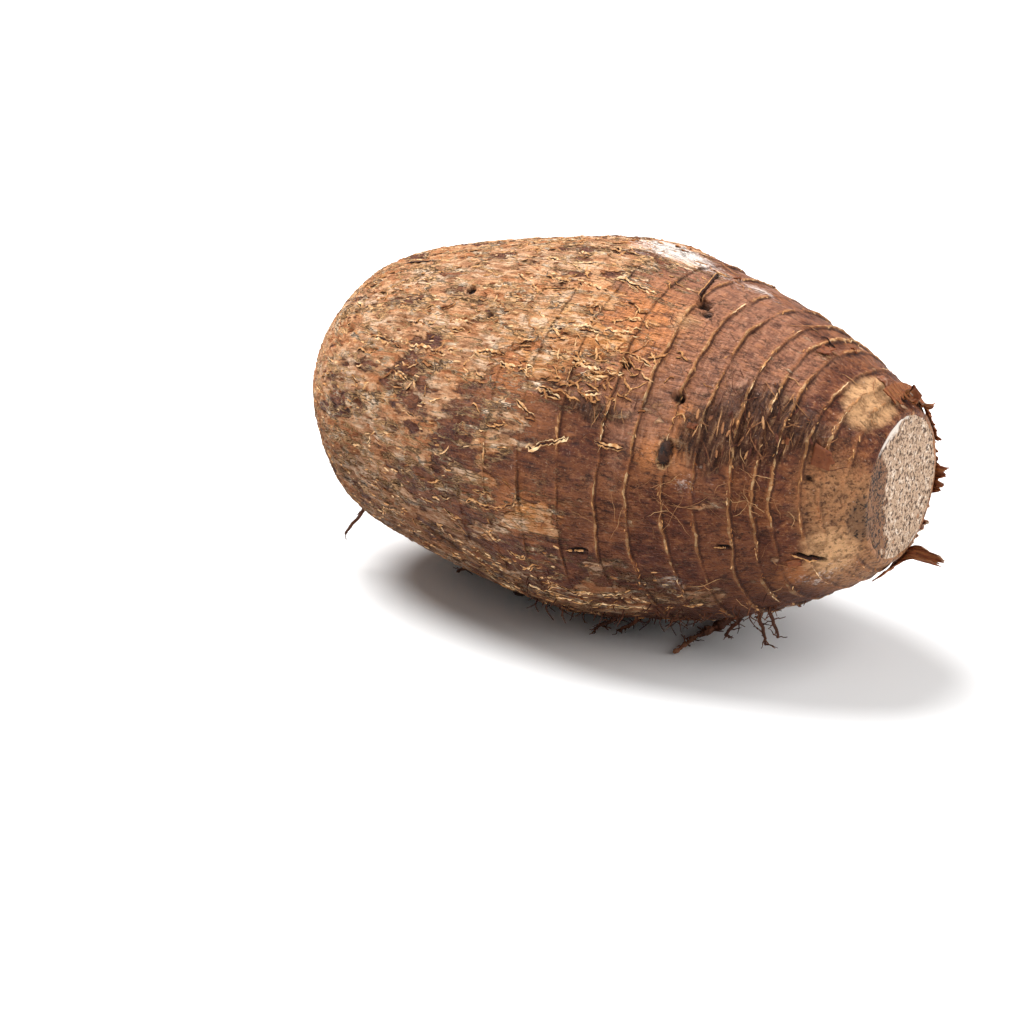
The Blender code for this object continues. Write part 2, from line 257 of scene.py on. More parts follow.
def skin_point(along, degrees, above=0.0):
    """Points over the ringed skin, above it by so many millimetres."""
    along, turn = np.asarray(along, float), np.radians(np.asarray(degrees, float))
    height = bpy.context.scene.taro_skin.scar_height / MM
    out = outline_radius(along) + lumps(along, turn)
    return in_place(along, turn, out + scar_profile(along - waver(along, turn), height) + above)


def round_from(degrees, centre):
    """Degrees round the corm from the centre, from -180 to 180."""
    return (degrees - centre + 180.0) % 360.0 - 180.0


def spot(along, degrees, place, reach):
    """1 at the place (along, degrees), falling to 0 past its reach (along, degrees)."""
    off = round_from(degrees, place[1])
    return np.exp(-(((along - place[0]) / reach[0]) ** 2) - (off / reach[1]) ** 2)


def ramp(value, low, high):
    """A smooth share: 0 at low and 1 at high."""
    share = np.clip((value - low) / (high - low), 0.0, 1.0)
    return share * share * (3 - 2 * share)


def rough(points, size, seed, octaves=3):
    """Fractal noise from -1 to 1 at points in metres, for features of that size in millimetres."""
    offset = Vector((seed * 7.31, seed * 3.17, seed * 1.93))
    return np.array([
        noise.fractal(Vector(p) * (1.0 / (size * MM)) + offset, 1.0, 2.0, octaves) for p in points
    ])


# Eyes of the corm: along, degrees round, size
EYES = ((151.7, 72.5, 0.85), (118.0, 205.0, 0.95), (137.0, 300.0, 1.05), (84.0, 160.0, 0.9))
# Pits: along, degrees, radius, depth
PITS = (
    (133.5, 47.6, 2.2, 1.4), (151.0, 54.0, 2.0, 1.5), (83.4, 40.0, 1.6, 1.0), (72.0, 31.0, 1.8, 1.0),
    (189.5, 73.0, 1.2, 0.9), (144.4, 16.5, 3.1, 2.6), (147.5, 20.5, 1.8, 1.2), (60.0, 300.0, 2.0, 1.4),
    (110.0, 260.0, 1.8, 1.3), (156.0, 230.0, 2.2, 1.5), (40.0, 230.0, 1.6, 1.0), (128.0, 180.0, 1.8, 1.0),
)
# Open slits round the corm: from (along, degrees) to (along, degrees), half width, depth
SLITS = (
    ((137.0, -8.0), (142.3, 14.2), 0.5, 3.2),
    ((124.0, 109.0), (129.6, 108.3), 0.8, 1.4),
    ((166.6, 106.0), (170.4, 106.0), 0.7, 1.2),
    ((186.6, 113.0), (192.8, 120.0), 0.8, 1.8),
    ((150.0, 215.0), (154.0, 240.0), 0.8, 2.2),
    ((96.0, 285.0), (99.0, 300.0), 0.7, 1.6),
)


def slit_depth(along, degrees, radius):
    """How deep the open slits cut the skin, and how near they are, for each point."""
    depth, near = 0.0 * along, 0.0 * along
    for (a0, d0), (a1, d1), half_width, deep in SLITS:
        step = np.radians(round_from(degrees, d0)) * radius
        run = np.array((a1 - a0, math.radians(d1 - d0) * float(outline_radius(a0))))
        share = np.clip(((along - a0) * run[0] + step * run[1]) / (run @ run), 0.0, 1.0)
        away = np.hypot(along - a0 - share * run[0], step - share * run[1])
        taper = np.minimum(1.0, 5.0 * np.minimum(share + 0.08, 1.08 - share))
        depth = np.maximum(depth, deep * taper * ramp(away, half_width * 1.25, half_width * 0.25))
        near = np.maximum(near, taper * ramp(away, half_width * 1.7, half_width * 0.5))
    return depth, near


# What shows in spots on the skin: share, along, degrees round, reach along, reach round
SPOTS = {
    "low": (
        (0.75, 111.0, 98.0, 12.0, 12.0), (0.5, 120.0, 52.0, 12.0, 9.0), (0.45, 131.0, 33.0, 12.0, 12.0),
    ),
    "mat": (
        (1.0, 173.0, 54.0, 14.0, 18.0), (1.0, 163.0, 66.0, 8.0, 10.0), (0.8, 128.0, 64.0, 12.0, 5.0),
        (0.9, 166.0, 250.0, 13.0, 15.0), (0.5, 188.0, 52.0, 8.0, 10.0),
    ),
    "bloom": (
        (0.75, 121.0, 352.0, 13.0, 7.5), (0.3, 150.0, 351.0, 9.0, 6.0), (0.7, 131.0, 283.0, 12.0, 7.0),
        (0.22, 190.0, 134.0, 8.0, 10.0), (0.33, 152.0, 122.0, 5.0, 5.0), (0.25, 158.0, 82.0, 3.5, 3.5),
    ),
    "straw": (
        (1.3, 195.5, 15.0, 6.0, 25.0), (0.6, 144.0, 27.0, 7.0, 6.0), (0.5, 194.0, 290.0, 4.5, 24.0),
        (0.9, 194.5, 117.0, 8.0, 22.0),
    ),
    "rust": (
        (1.4, 131.0, 33.0, 14.0, 15.0), (0.9, 100.0, 52.0, 11.0, 16.0), (1.0, 155.0, 58.0, 4.0, 4.0),
        (1.0, 148.0, 74.0, 5.0, 7.0), (0.8, 184.0, 128.0, 8.0, 9.0), (0.7, 110.0, 98.0, 12.0, 8.0),
        (0.8, 92.0, 215.0, 12.0, 14.0), (0.9, 156.0, 70.0, 3.5, 9.0),
    ),
    "mould": ((1.0, 202.0, 98.0, 4.0, 22.0), (0.5, 200.0, 262.0, 4.0, 26.0)),
    "lighter_underside_spot": ((0.7, 108.0, 102.0, 16.0, 16.0),),
}


def spotted(name, along, degrees):
    """The shares of the named spots, added up."""
    return sum(
        share * spot(along, degrees, (a, d), (reach, spread)) for share, a, d, reach, spread in SPOTS[name]
    )


def skin_zones(along, degrees, points):
    """Shares from 0 to 1 of what the skin shows at each point: the names are the attributes."""
    broad, patchy, fine = rough(points, 34.0, 2), rough(points, 11.0, 3), rough(points, 4.0, 4)
    strayed = along + 9.0 * broad + 4.0 * patchy
    turned = degrees + 12.0 * broad
    root = (0.62 + 0.38 * ramp(strayed, 84.0, 40.0)) * ramp(strayed, 128.0, 96.0)
    top = ramp(strayed, 144.0, 108.0)
    top = top * np.clip(1.2 - (np.abs(round_from(turned, 10.0)) / 66.0) ** 3, 0.0, 1.0)
    back = 0.75 * ramp(strayed, 128.0, 96.0) * ramp(np.abs(turned - 285.0), 60.0, 30.0)
    belly = 0.85 * ramp(strayed, 172.0, 152.0) * (
        np.exp(-(((turned - 131.0) / 17.0) ** 2)) + np.exp(-(((turned - 226.0) / 15.0) ** 2))
    )
    cork = np.maximum.reduce([root, top, back, belly, spotted("low", along, degrees)])
    cork = np.clip(cork + 0.3 * patchy + 0.12 * fine, 0.0, 1.0)
    bloom = spotted("bloom", along, degrees)
    bare = ramp(along + 2.5 * patchy, 184.0, 194.0)
    bare = bare * ramp(np.abs(round_from(degrees, 190.0)), 140.0, 116.0)
    dusk = ramp(strayed, 104.0, 124.0) * np.maximum(
        spot(along, degrees, (148.0, 32.0), (30.0, 38.0)),
        0.55 * spot(along, degrees, (140.0, 310.0), (34.0, 40.0)),
    )
    # Darker towards the underside, less so towards the crown and in one lighter spot.
    soil = ramp(np.abs(round_from(degrees, 180.0)), 110.0, 56.0) * (0.85 + 0.4 * patchy)
    soil = soil * (1.0 - 0.8 * ramp(along, 180.0, 193.0)) * (1.0 - spotted("lighter_underside_spot", along, degrees))
    wanted = {
        "cork": cork * (1 - 0.8 * bare),
        "fibre": ramp(spotted("mat", along, degrees) + 0.25 * patchy + 0.2 * fine, 0.3, 0.75),
        "bloom": bloom + 0.2 * bloom * patchy,
        "straw": spotted("straw", along, degrees),
        "rust": spotted("rust", along, degrees),
        "bare": bare,
        "dusk": np.clip(1.7 * dusk + 0.3 * patchy + 0.05, 0.0, 1.0) * (1.0 - bare),
        "mould": spotted("mould", along, degrees),
        "soil": soil,
    }
    return {name: np.clip(value, 0.0, 1.0) for name, value in wanted.items()}


def skin_rows():
    """(along, out from the axis) of each row of the grid, from the root end's dimple to the rim."""
    rows = [tuple(row) for row in OUTLINE_CURVE[2:WIDEST_LEFT + 1:3]]
    marks = [1.0, 2.0]
    for scar, following in zip((0.0, *SCARS), (*SCARS, RIM)):
        if scar:
            marks += [scar + step for step in NEAR_SCAR]
        start, end = (scar + 2.1 if scar else 2.0), following - 1.6
        if end > start:
            marks += list(np.linspace(start, end, max(2, round((end - start) / ROW_GAP) + 1)))
    marks = sorted(m for m in marks if m < RIM - 0.1)
    kept = [marks[0]]
    for mark in marks[1:]:
        if mark - kept[-1] > 0.17:
            kept.append(mark)
    rows += [(mark, float(outline_radius(mark))) for mark in kept]
    radius = float(outline_radius(RIM))
    rows += [(RIM + past, radius - inwards) for past, inwards in RIM_EDGE]
    rows.append((RIM + 0.6, radius * 0.5))
    return np.array(rows)


def shaped_by_marks(along, degrees, out, jitter, marks):
    """The skin's distance from the axis with its eyes, pits and slits, which it also marks."""
    marks["eye"], marks["eye_rim"], hollow = 0.0 * along, 0.0 * along, 0.0 * along
    for a, d, size in EYES:
        step = np.radians(round_from(degrees, d)) * outline_radius(a)
        off = np.hypot((along - a) / (2.2 * size), step / (4.4 * size)) + 0.12 * jitter
        facing = np.clip(0.5 + 0.6 * np.sin(np.arctan2(step, along - a) - 1.1), 0.0, 1.0)
        edge = facing * np.exp(-(((off - 1.22) / 0.13) ** 2))
        groove = 0.7 * np.exp(-(((off - 1.02) / 0.1) ** 2))
        out = out + 2.1 * np.sqrt(np.clip(1 - off**2, 0, 1)) + 0.8 * edge - groove
        marks["eye"] = np.maximum(marks["eye"], ramp(off, 1.1, 0.98))
        marks["eye_rim"] = np.maximum(marks["eye_rim"], edge)
    for a, d, radius, deep in PITS:
        step = np.radians(round_from(degrees, d)) * outline_radius(a)
        off = np.hypot(along - a, step) / radius + 0.45 * jitter
        out = out - deep * ramp(off, 1.0, 0.35) + 0.25 * np.exp(-(((off - 1.15) / 0.2) ** 2))
        hollow = np.maximum(hollow, 0.9 * ramp(off, 0.85, 0.4))
    depth, slit = slit_depth(along, degrees, outline_radius(along))
    # The pits and open slits are marked to be painted near black: painted shade in their hollows.
    marks["hollow"] = np.maximum(hollow, slit)
    return out - depth


def mark_scars(nominal, degrees, strength, marks):
    """Marks the pale crest of each leaf scar, and the painted shadow on the step at its crown side."""
    scars = np.array(SCARS)
    past = nominal - scars[np.abs(nominal[..., None] - scars).argmin(-1)]
    faded = strength * np.interp(nominal, (0, 88, 101, 115), (0.05, 0.2, 0.6, 1.0))
    climb = np.clip(1.0 + (past + 0.1) / 2.6, 0.0, 1.0) ** 2
    near = np.where(past < -0.1, climb, 1.0 - np.abs(past + 0.1) / 0.6)
    showing = 1.0 - spot(nominal, degrees, (97.0, 53.0), (3.0, 16.0))
    clear = 1.0 - 0.85 * marks["cork"] * ramp(nominal, 142.0, 132.0) * showing
    marks["crest"] = np.clip(near, 0.0, 1.0) * np.clip(faded, 0.0, 1.1) * clear
    # Painted shadow: the step on the crown side of each leaf scar, darkened in the colour.
    marks["lee"] = ramp(past, 0.02, 0.15) * ramp(past, 0.8, 0.3) * np.clip(faded, 0.0, 1.0)


def skin_shape(height):
    """The rows of the skin's grid, its places in metres, and its marks, for scars of that height."""
    rows = skin_rows()
    turns = np.linspace(0.0, math.tau, SIDES, endpoint=False)
    nominal, turn = np.meshgrid(rows[:, 0], turns, indexing="ij")
    out = np.repeat(rows[:, 1:], SIDES, 1)
    degrees = np.degrees(turn)
    first = in_place(nominal, turn, out).reshape(-1, 3)
    jitter = (0.4 * rough(first, 4.0, 5) + 0.6 * rough(first, 12.0, 6)).reshape(nominal.shape)
    vigour = 0.95 + 1.0 * rough(first, 13.0, 7).reshape(nominal.shape)
    along = nominal + waver(nominal, turn) + jitter * end_fade(nominal, 14.0, 3.0)
    inside = (out > 0.5) & (nominal > 0.0) & (nominal < RIM + 0.01)
    zones = skin_zones(along.ravel(), degrees.ravel(), first)
    marks = {name: value.reshape(along.shape) for name, value in zones.items()}
    strength = np.clip(vigour, 0.15, 1.6) * (1.0 - 0.4 * marks["bare"]) * (1.0 - 0.45 * marks["cork"])
    for a, d, size in EYES:
        by_eye = spot(along, degrees, (a, d), (4.5 * size, 7.5 * size))
        strength = strength * (1.0 - ramp(by_eye, 0.1, 0.5))
    change = outline_radius(along) - outline_radius(nominal) + lumps(along, turn)
    out = out + np.where(inside, change + scar_profile(nominal, height) * strength, 0.0)
    out = shaped_by_marks(along, degrees, out, jitter, marks)
    mark_scars(nominal, degrees, strength, marks)
    slope = (outline_radius(along + 1.0) - outline_radius(along - 1.0)) / 2
    aim = np.stack([-slope, -np.sin(turn), np.cos(turn)], -1)
    marks["aim"] = aim / np.linalg.norm(aim, axis=-1, keepdims=True)
    return rows, in_place(along, turn, out), marks


def grid_mesh(name, places, attributes, closed_ends=(True, True)):
    """A tube of faces through rows x sides of points, outwards, closed to a point at its ends."""
    rows, sides = places.shape[:2]
    mesh = bpy.data.meshes.new(name)
    points = places.reshape(-1, 3)
    row, side = np.meshgrid(np.arange(rows - 1), np.arange(sides), indexing="ij")
    here, beside = row * sides + side, row * sides + (side + 1) % sides
    faces = np.stack([here, beside, beside + sides, here + sides], -1).reshape(-1, 4).tolist()
    around = [(i, (i + 1) % sides) for i in range(sides)]
    if closed_ends[0]:
        faces += [(len(points), j, i) for i, j in around]
        points = np.vstack([points, places[0].mean(0)])
    if closed_ends[1]:
        base = (rows - 1) * sides
        faces += [(len(points), base + i, base + j) for i, j in around]
        points = np.vstack([points, places[-1].mean(0)])
    mesh.from_pydata(points.tolist(), [], faces)
    for label, values in attributes.items():
        wide = values.shape[2:] == (3,)
        flat = values.reshape(-1, 3 if wide else 1)
        flat = np.vstack([flat, np.repeat(flat[-1:], len(points) - len(flat), 0)]).astype(np.float32)
        made = mesh.attributes.new(label, "FLOAT_VECTOR" if wide else "FLOAT", "POINT")
        made.data.foreach_set("vector" if wide else "value", flat.ravel())
    mesh.update()
    return mesh


# Nodes and materials


def add_node(tree, kind, settings, inputs, output=0):
    """Adds a node with its settings; each input is a value or another node's output."""
    made = tree.nodes.new(kind)
    made.location = (len(tree.nodes) % 12 * 190.0, -(len(tree.nodes) // 12) * 260.0)
    for name, value in settings.items():
        setattr(made, name, value)
    for name, value in inputs.items():
        if isinstance(value, bpy.types.NodeSocket):
            tree.links.new(value, made.inputs[name])
        else:
            made.inputs[name].default_value = value
    return made.outputs[output] if len(made.outputs) else made


def blank_material(name):
    """A new material, its tree and its shader."""
    material = bpy.data.materials.new(name)
    material.use_nodes = True
    tree = material.node_tree
    return material, tree, tree.nodes["Principled BSDF"]


def stretched_patterns(tree, patterns):
    """Noise for each name, from (mm along the corm, mm across it, detail, roughness, seed)."""
    place = add_node(tree, "ShaderNodeTexCoord", {}, {}, "Object")
    made = {}
    for name, (along, across, detail, grit, seed) in patterns.items():
        scale = (1 / (along * MM), 1 / (across * MM), 1 / (across * MM))
        inputs = {0: place, 1: scale, 2: (seed, seed, seed)}
        spread = add_node(tree, "ShaderNodeVectorMath", {"operation": "MULTIPLY_ADD"}, inputs)
        inputs = {"Vector": spread, "Scale": 1.0, "Detail": detail, "Roughness": grit}
        made[name] = add_node(tree, "ShaderNodeTexNoise", {}, inputs)
    return made


def joined(tree, operation, values):
    """The values joined by one operation after another."""
    total, *others = values
    for value in others:
        total = add_node(tree, "ShaderNodeMath", {"operation": operation}, {0: total, 1: value})
    return total


def added(tree, *terms):
    """The sum of the terms, where a term in brackets is the product of what it holds."""
    return joined(tree, "ADD", [joined(tree, "MULTIPLY", t) if isinstance(t, tuple) else t for t in terms])


def masks(tree, wanted):
    """For each name a share from 0 to 1 of the added terms, from (low, high, *terms)."""
    return {
        name: add_node(
            tree, "ShaderNodeMapRange", {"interpolation_type": "SMOOTHSTEP"},
            {"Value": added(tree, *terms), "From Min": low, "From Max": high},
        )
        for name, (low, high, *terms) in wanted.items()
    }


def layered(tree, base, layers):
    """The base colour with each (colour, *shares) laid over it, by the product of its shares."""
    colour = base
    for over, *shares in layers:
        shown = linear(over) if isinstance(over, str) else over
        inputs = {0: joined(tree, "MULTIPLY", shares), 6: colour, 7: shown}
        colour = add_node(tree, "ShaderNodeMix", {"data_type": "RGBA"}, inputs, 2)
    return colour


def attributes_of(tree, *names):
    """What the piece's own attributes say at each point."""
    return {
        name: add_node(tree, "ShaderNodeAttribute", {"attribute_name": name}, {}, "Fac") for name in names
    }


def finished(tree, shader, colour, relief, depth, values, strength=1.0):
    """Gives the shader its colour, its relief, so many millimetres deep, and its plain values."""
    tree.links.new(colour, shader.inputs["Base Color"])
    inputs = {"Strength": strength, "Distance": depth * MM, "Height": relief}
    bump = add_node(tree, "ShaderNodeBump", {}, inputs)
    tree.links.new(bump, shader.inputs["Normal"])
    for name, value in values.items():
        shader.inputs[name].default_value = value


def periderm(settings):
    """Taro periderm, a thin cork skin grown in rings between leaf scars: dull and dry, red-brown
    to dusky, split into a tan crust at the root end, with cream crests and dark cracks, darker
    towards the underside. Light is painted on it too: a highlight along each crest, a shadow on
    the crown side of each scar, and shade in the splits, pits and slits."""
    material, tree, shader = blank_material("taro_periderm")
    zone = attributes_of(
        tree, "cork", "fibre", "bloom", "straw", "rust", "bare", "dusk", "mould", "soil", "crest", "lee",
        "hollow", "eye", "eye_rim", "relief",
    )
    pattern = stretched_patterns(tree, {
        "blotch": (26.0, 15.0, 3.0, 0.55, 1.0),
        "mottle": (4.6, 2.8, 5.0, 0.62, 2.0),
        "streak": (20.0, 1.0, 4.0, 0.62, 3.0),
        "island": (17.0, 8.0, 5.0, 0.6, 4.0),
        "flake": (12.0, 1.7, 5.0, 0.62, 5.0),
        "ridge": (36.0, 7.5, 5.0, 0.5, 6.0),
        "small": (20.0, 3.4, 4.0, 0.5, 7.0),
        "crease": (8.0, 5.0, 4.0, 0.6, 8.0),
        "dash": (7.0, 4.0, 2.0, 0.5, 9.0),
        "round": (1.2, 5.5, 5.0, 0.66, 10.0),
        "grit": (0.9, 0.6, 3.0, 0.65, 11.0),
        "pore": (1.2, 1.2, 2.0, 0.55, 12.0),
        "break": (2.4, 2.4, 3.0, 0.6, 13.0),
    })
    off = {}
    for name in ("ridge", "small", "crease"):
        middled = added(tree, pattern[name], -0.5)
        off[name] = add_node(tree, "ShaderNodeMath", {"operation": "ABSOLUTE"}, {0: middled})
    wide = added(tree, (zone["cork"], 0.3), pattern["dash"], (pattern["break"], 0.35), -0.7)
    dashes = added(tree, pattern["streak"], (pattern["mottle"], 0.7))
    mask = masks(tree, {
        "blotch": (0.38, 0.62, pattern["blotch"]),
        "dusk": (0.55, 0.95, zone["dusk"], (pattern["island"], 0.5)),
        "mottle_dark": (0.52, 0.4, pattern["mottle"]),
        "dash_dark": (0.78, 0.7, dashes),
        "dash_light": (0.95, 1.03, dashes),
        "mottle_light": (0.48, 0.66, pattern["mottle"]),
        "streak": (0.5, 0.38, pattern["streak"]),
        "crust": (
            1.26, 1.36, (zone["cork"], 0.5), (pattern["island"], 1.6), (pattern["flake"], 0.35),
            (zone["relief"], 0.12),
        ),
        "orange": (0.56, 0.42, pattern["blotch"]),
        "tan": (0.74, 0.9, pattern["mottle"], (pattern["flake"], 0.6)),
        "pale": (1.28, 1.5, pattern["blotch"], pattern["flake"], (pattern["mottle"], 0.5)),
        "pit": (0.42, 0.34, pattern["flake"]),
        "plum": (0.55, 0.66, pattern["crease"]),
        "ochre": (0.45, 0.33, pattern["crease"]),
        "ridge_core": (0.01, 0.004, off["ridge"]),
        "ridge_lip": (-0.003, 0.006, (wide, 0.1), (off["ridge"], -1.0)),
        "small_core": (0.009, 0.004, off["small"]),
        "small_lip": (-0.002, 0.008, (wide, 0.085), (off["small"], -1.0)),
        "crease": (-0.027, -0.036, off["crease"], (pattern["dash"], -0.07)),
        "grit_dark": (0.48, 0.34, pattern["grit"]),
        "grit_light": (0.55, 0.7, pattern["grit"]),
        "ring": (1.1, 1.2, zone["crest"], (pattern["break"], 0.8)),
        # Painted highlight: a warm lighter band along each leaf scar's raised crest.
        "crest_highlight": (0.1, 0.9, zone["crest"]),
        "round_dark": (0.5, 0.38, pattern["round"]),
        "round_light": (0.53, 0.64, pattern["round"]),
        "pore": (0.46, 0.36, pattern["pore"]),
        "bloom": (0.95, 1.35, zone["bloom"], (pattern["flake"], 0.9), (pattern["grit"], 0.7)),
        "straw": (0.66, 1.1, zone["straw"], (pattern["mottle"], 0.7)),
        "mould": (0.85, 1.15, zone["mould"], (pattern["mottle"], 0.9)),
    })
    inputs = {"Value": zone["cork"], "From Min": 0.08, "From Max": 0.35}
    corky = add_node(tree, "ShaderNodeMapRange", {}, inputs)
    lips = joined(tree, "MAXIMUM", (
        added(tree, (mask["ridge_lip"], corky)), added(tree, (mask["small_lip"], zone["cork"])),
    ))
    # The dark lines between the cork lips: painted shade in the splits.
    cores = joined(tree, "MAXIMUM", (
        added(tree, (mask["ridge_core"], mask["ridge_lip"], corky)),
        added(tree, (mask["small_core"], mask["small_lip"], zone["cork"], 0.5)),
    ))
    bare_skin = joined(tree, "MULTIPLY", (
        added(tree, 1.0, (mask["crust"], -1.0)), added(tree, 1.0, (zone["bare"], -1.0)),
        added(tree, 1.0, (mask["straw"], -0.8)),
    ))
    colour = layered(tree, settings.red[:], [
        (settings.brown[:], mask["blotch"]),
        ("#552c26", mask["plum"], 0.75),
        ("#93552c", mask["ochre"], 0.55),
        (settings.dusk[:], mask["dusk"], 0.85),
        ("#d8884c", zone["rust"], 0.85),
        ("#b78357", zone["bare"], 0.75),
        ("#33110a", mask["mottle_dark"], 0.3),
        ("#a3613a", mask["mottle_light"], 0.3),
        ("#37130a", mask["streak"], 0.35),
        ("#260c05", mask["dash_dark"], added(tree, 0.55, (mask["dusk"], -0.3))),
        ("#5a2f22", mask["dusk"], mask["round_dark"], 0.4),
        ("#c48f70", mask["dusk"], mask["round_light"], 0.35),
        ("#b97c50", mask["dash_light"], 0.3),
        # Painted highlight along the crests of the leaf scars.
        ("#b06c3e", mask["crest_highlight"], 0.55),
        (settings.cork[:], mask["crust"], 0.92),
        ("#b86c3a", mask["crust"], mask["orange"], 0.6),
        ("#dd954e", mask["crust"], zone["rust"], 0.65),
        ("#e6b184", mask["crust"], mask["tan"], 0.75),
        (settings.pale_cork[:], mask["crust"], mask["pale"], 0.4),
        ("#6e3618", mask["crust"], mask["pit"], 0.6),
        ("#e0ae7c", mask["straw"], 0.75),
        ("#7b5231", mask["straw"], mask["mottle_dark"], 0.6),
        ("#5c3724", zone["fibre"], 0.75),
        ("#260f08", zone["fibre"], mask["round_dark"], 0.75),
        ("#b58560", zone["fibre"], mask["round_light"], 0.8),
        ("#e0ad78", lips, 0.85),
        (settings.pale_cork[:], lips, mask["mottle_light"], 0.7),
        (settings.dark[:], mask["grit_dark"], 0.28),
        ("#e0a878", mask["grit_light"], 0.22),
        # Painted shade in the splits between the lips.
        ("#32150a", cores, 0.75),
        ("#220b05", mask["crease"], bare_skin, 0.5),
        ("#f4e6dc", mask["bloom"], 0.9),
        # Painted shadow on the crown side of each leaf scar, weaker on the straw patches.
        (settings.dark[:], zone["lee"], added(tree, 0.8, (mask["straw"], -0.6))),
        ("#bb8050", mask["ring"], 0.7),
        ("#e8c08c", mask["ring"], mask["mottle_light"], 0.7),
        ("#38200f", zone["bare"], mask["pore"], 0.6),
        ("#5a4230", mask["mould"], 0.6),
        ("#17110a", mask["mould"], mask["pore"], 0.9),
        # Darker towards the underside.
        ("#351307", zone["soil"], 0.68),
        ("#e3b684", zone["eye_rim"], 0.9),
        ("#2e170f", zone["eye"], 0.95),
        ("#0d0503", zone["eye"], mask["mottle_dark"], 0.9),
        ("#7d4f38", zone["eye"], mask["grit_light"], 0.4),
        # Painted shade: the pits and open slits near black.
        ("#120503", zone["hollow"]),
    ])
    relief = added(
        tree, (mask["crust"], 0.45), (pattern["flake"], mask["crust"], 1.3), (pattern["mottle"], 0.9),
        (pattern["streak"], 0.7), (pattern["grit"], 0.25), (pattern["round"], zone["fibre"], 3.6),
        (mask["ring"], 0.4), lips, (cores, -1.0), (mask["crease"], bare_skin, -0.45),
    )
    finished(tree, shader, colour, relief, 1.8, {"IOR": 1.45, "Specular IOR Level": 0.25})
    shine = add_node(tree, "ShaderNodeMapRange", {}, {"Value": mask["crust"], "To Min": 0.55, "To Max": 0.9})
    tree.links.new(shine, shader.inputs["Roughness"])
    return material


def toned_material(name, tones, patterns, roughness, bump_depth):
    """Colours by the piece's own attribute "tone", from dark at 0 to pale at 1, with fine grain."""
    material, tree, shader = blank_material(name)
    tone = attributes_of(tree, "tone")["tone"]
    pattern = stretched_patterns(tree, patterns)
    grain = added(tree, *[(noisy, 0.5) for noisy in pattern.values()], -0.25 * len(pattern))
    ramped = add_node(tree, "ShaderNodeValToRGB", {}, {"Fac": added(tree, tone, (grain, 0.9))})
    stops = ramped.node.color_ramp.elements
    while len(stops) < len(tones):
        stops.new(0.5)
    for stop, (place, code) in zip(stops, tones):
        stop.position, stop.color = place, linear(code)
    finished(tree, shader, ramped, grain, bump_depth, {"Roughness": roughness, "Specular IOR Level": 0.3})
    return material


def cork_material():
    """Suberised cork, split open and dried: matt, tan to cream on its lips; its darkest tone paints the
    shade in the splits and slits and beside the ridges.
    """
    tones = ((0.0, "#260d05"), (0.3, "#7c4422"), (0.62, "#cf965f"), (1.0, "#fbd9a8"))
    patterns = {"along": (2.5, 0.8, 3.0, 0.6, 11.0), "grit": (0.7, 0.7, 3.0, 0.6, 12.0)}
    return toned_material("split_cork", tones, patterns, 0.85, 0.5)


def fibre_material():
    """Dried root hair and vascular fibre: thin, matt, from soil-dark to straw where it is rubbed."""
    tones = ((0.0, "#1f0c06"), (0.35, "#54291a"), (0.7, "#a9744b"), (1.0, "#e3b581"))
    return toned_material("dried_fibre", tones, {"grit": (1.2, 1.0, 2.0, 0.6, 13.0)}, 0.8, 0.2)


def dried_root_material():
    """Shrivelled adventitious root: wrinkled along its length, dark red-brown with a rubbed tip."""
    tones = ((0.0, "#2a120a"), (0.4, "#5c331f"), (0.75, "#8f6143"), (1.0, "#c79a72"))
    patterns = {"wrinkle": (1.1, 2.5, 3.0, 0.6, 14.0), "grit": (0.6, 0.6, 3.0, 0.6, 15.0)}
    return toned_material("shrivelled_root", tones, patterns, 0.75, 0.5)


def sheath_material(settings):
    """Dried leaf sheath: papery, slightly shiny, ribbed by its veins, pale at its torn edges."""
    material, tree, shader = blank_material("papery_sheath")
    zone = attributes_of(tree, "tone", "vein")
    pattern = stretched_patterns(tree, {
        "blotch": (5.0, 5.0, 3.0, 0.6, 21.0),
        "grit": (0.5, 0.5, 3.0, 0.65, 22.0),
        "fleck": (2.6, 0.9, 3.0, 0.6, 23.0),
    })
    mask = masks(tree, {
        "vein": (0.3, 0.8, zone["vein"]),
        "blotch": (0.4, 0.62, pattern["blotch"]),
        "dark": (0.47, 0.34, pattern["fleck"]),
        "pale": (0.7, 1.15, zone["tone"], (pattern["fleck"], 0.5)),
        "grit": (0.46, 0.33, pattern["grit"]),
    })
    colour = layered(tree, settings.sheath[:], [
        ("#5f2f18", mask["blotch"], 0.6),
        ("#a9713f", mask["vein"], 0.35),
        ("#35180c", mask["dark"], 0.6),
        ("#dfcbb6", mask["pale"], 0.85),
        ("#4f2d1d", mask["grit"], 0.4),
    ])
    relief = added(tree, (zone["vein"], 0.6), (pattern["grit"], 0.4), (pattern["fleck"], 0.4))
    values = {
        "Roughness": 0.68, "Specular IOR Level": 0.25, "Subsurface Weight": 0.08,
        "Subsurface Scale": 1.5 * MM,
    }
    finished(tree, shader, colour, relief, 0.4, values, 0.9)
    return material


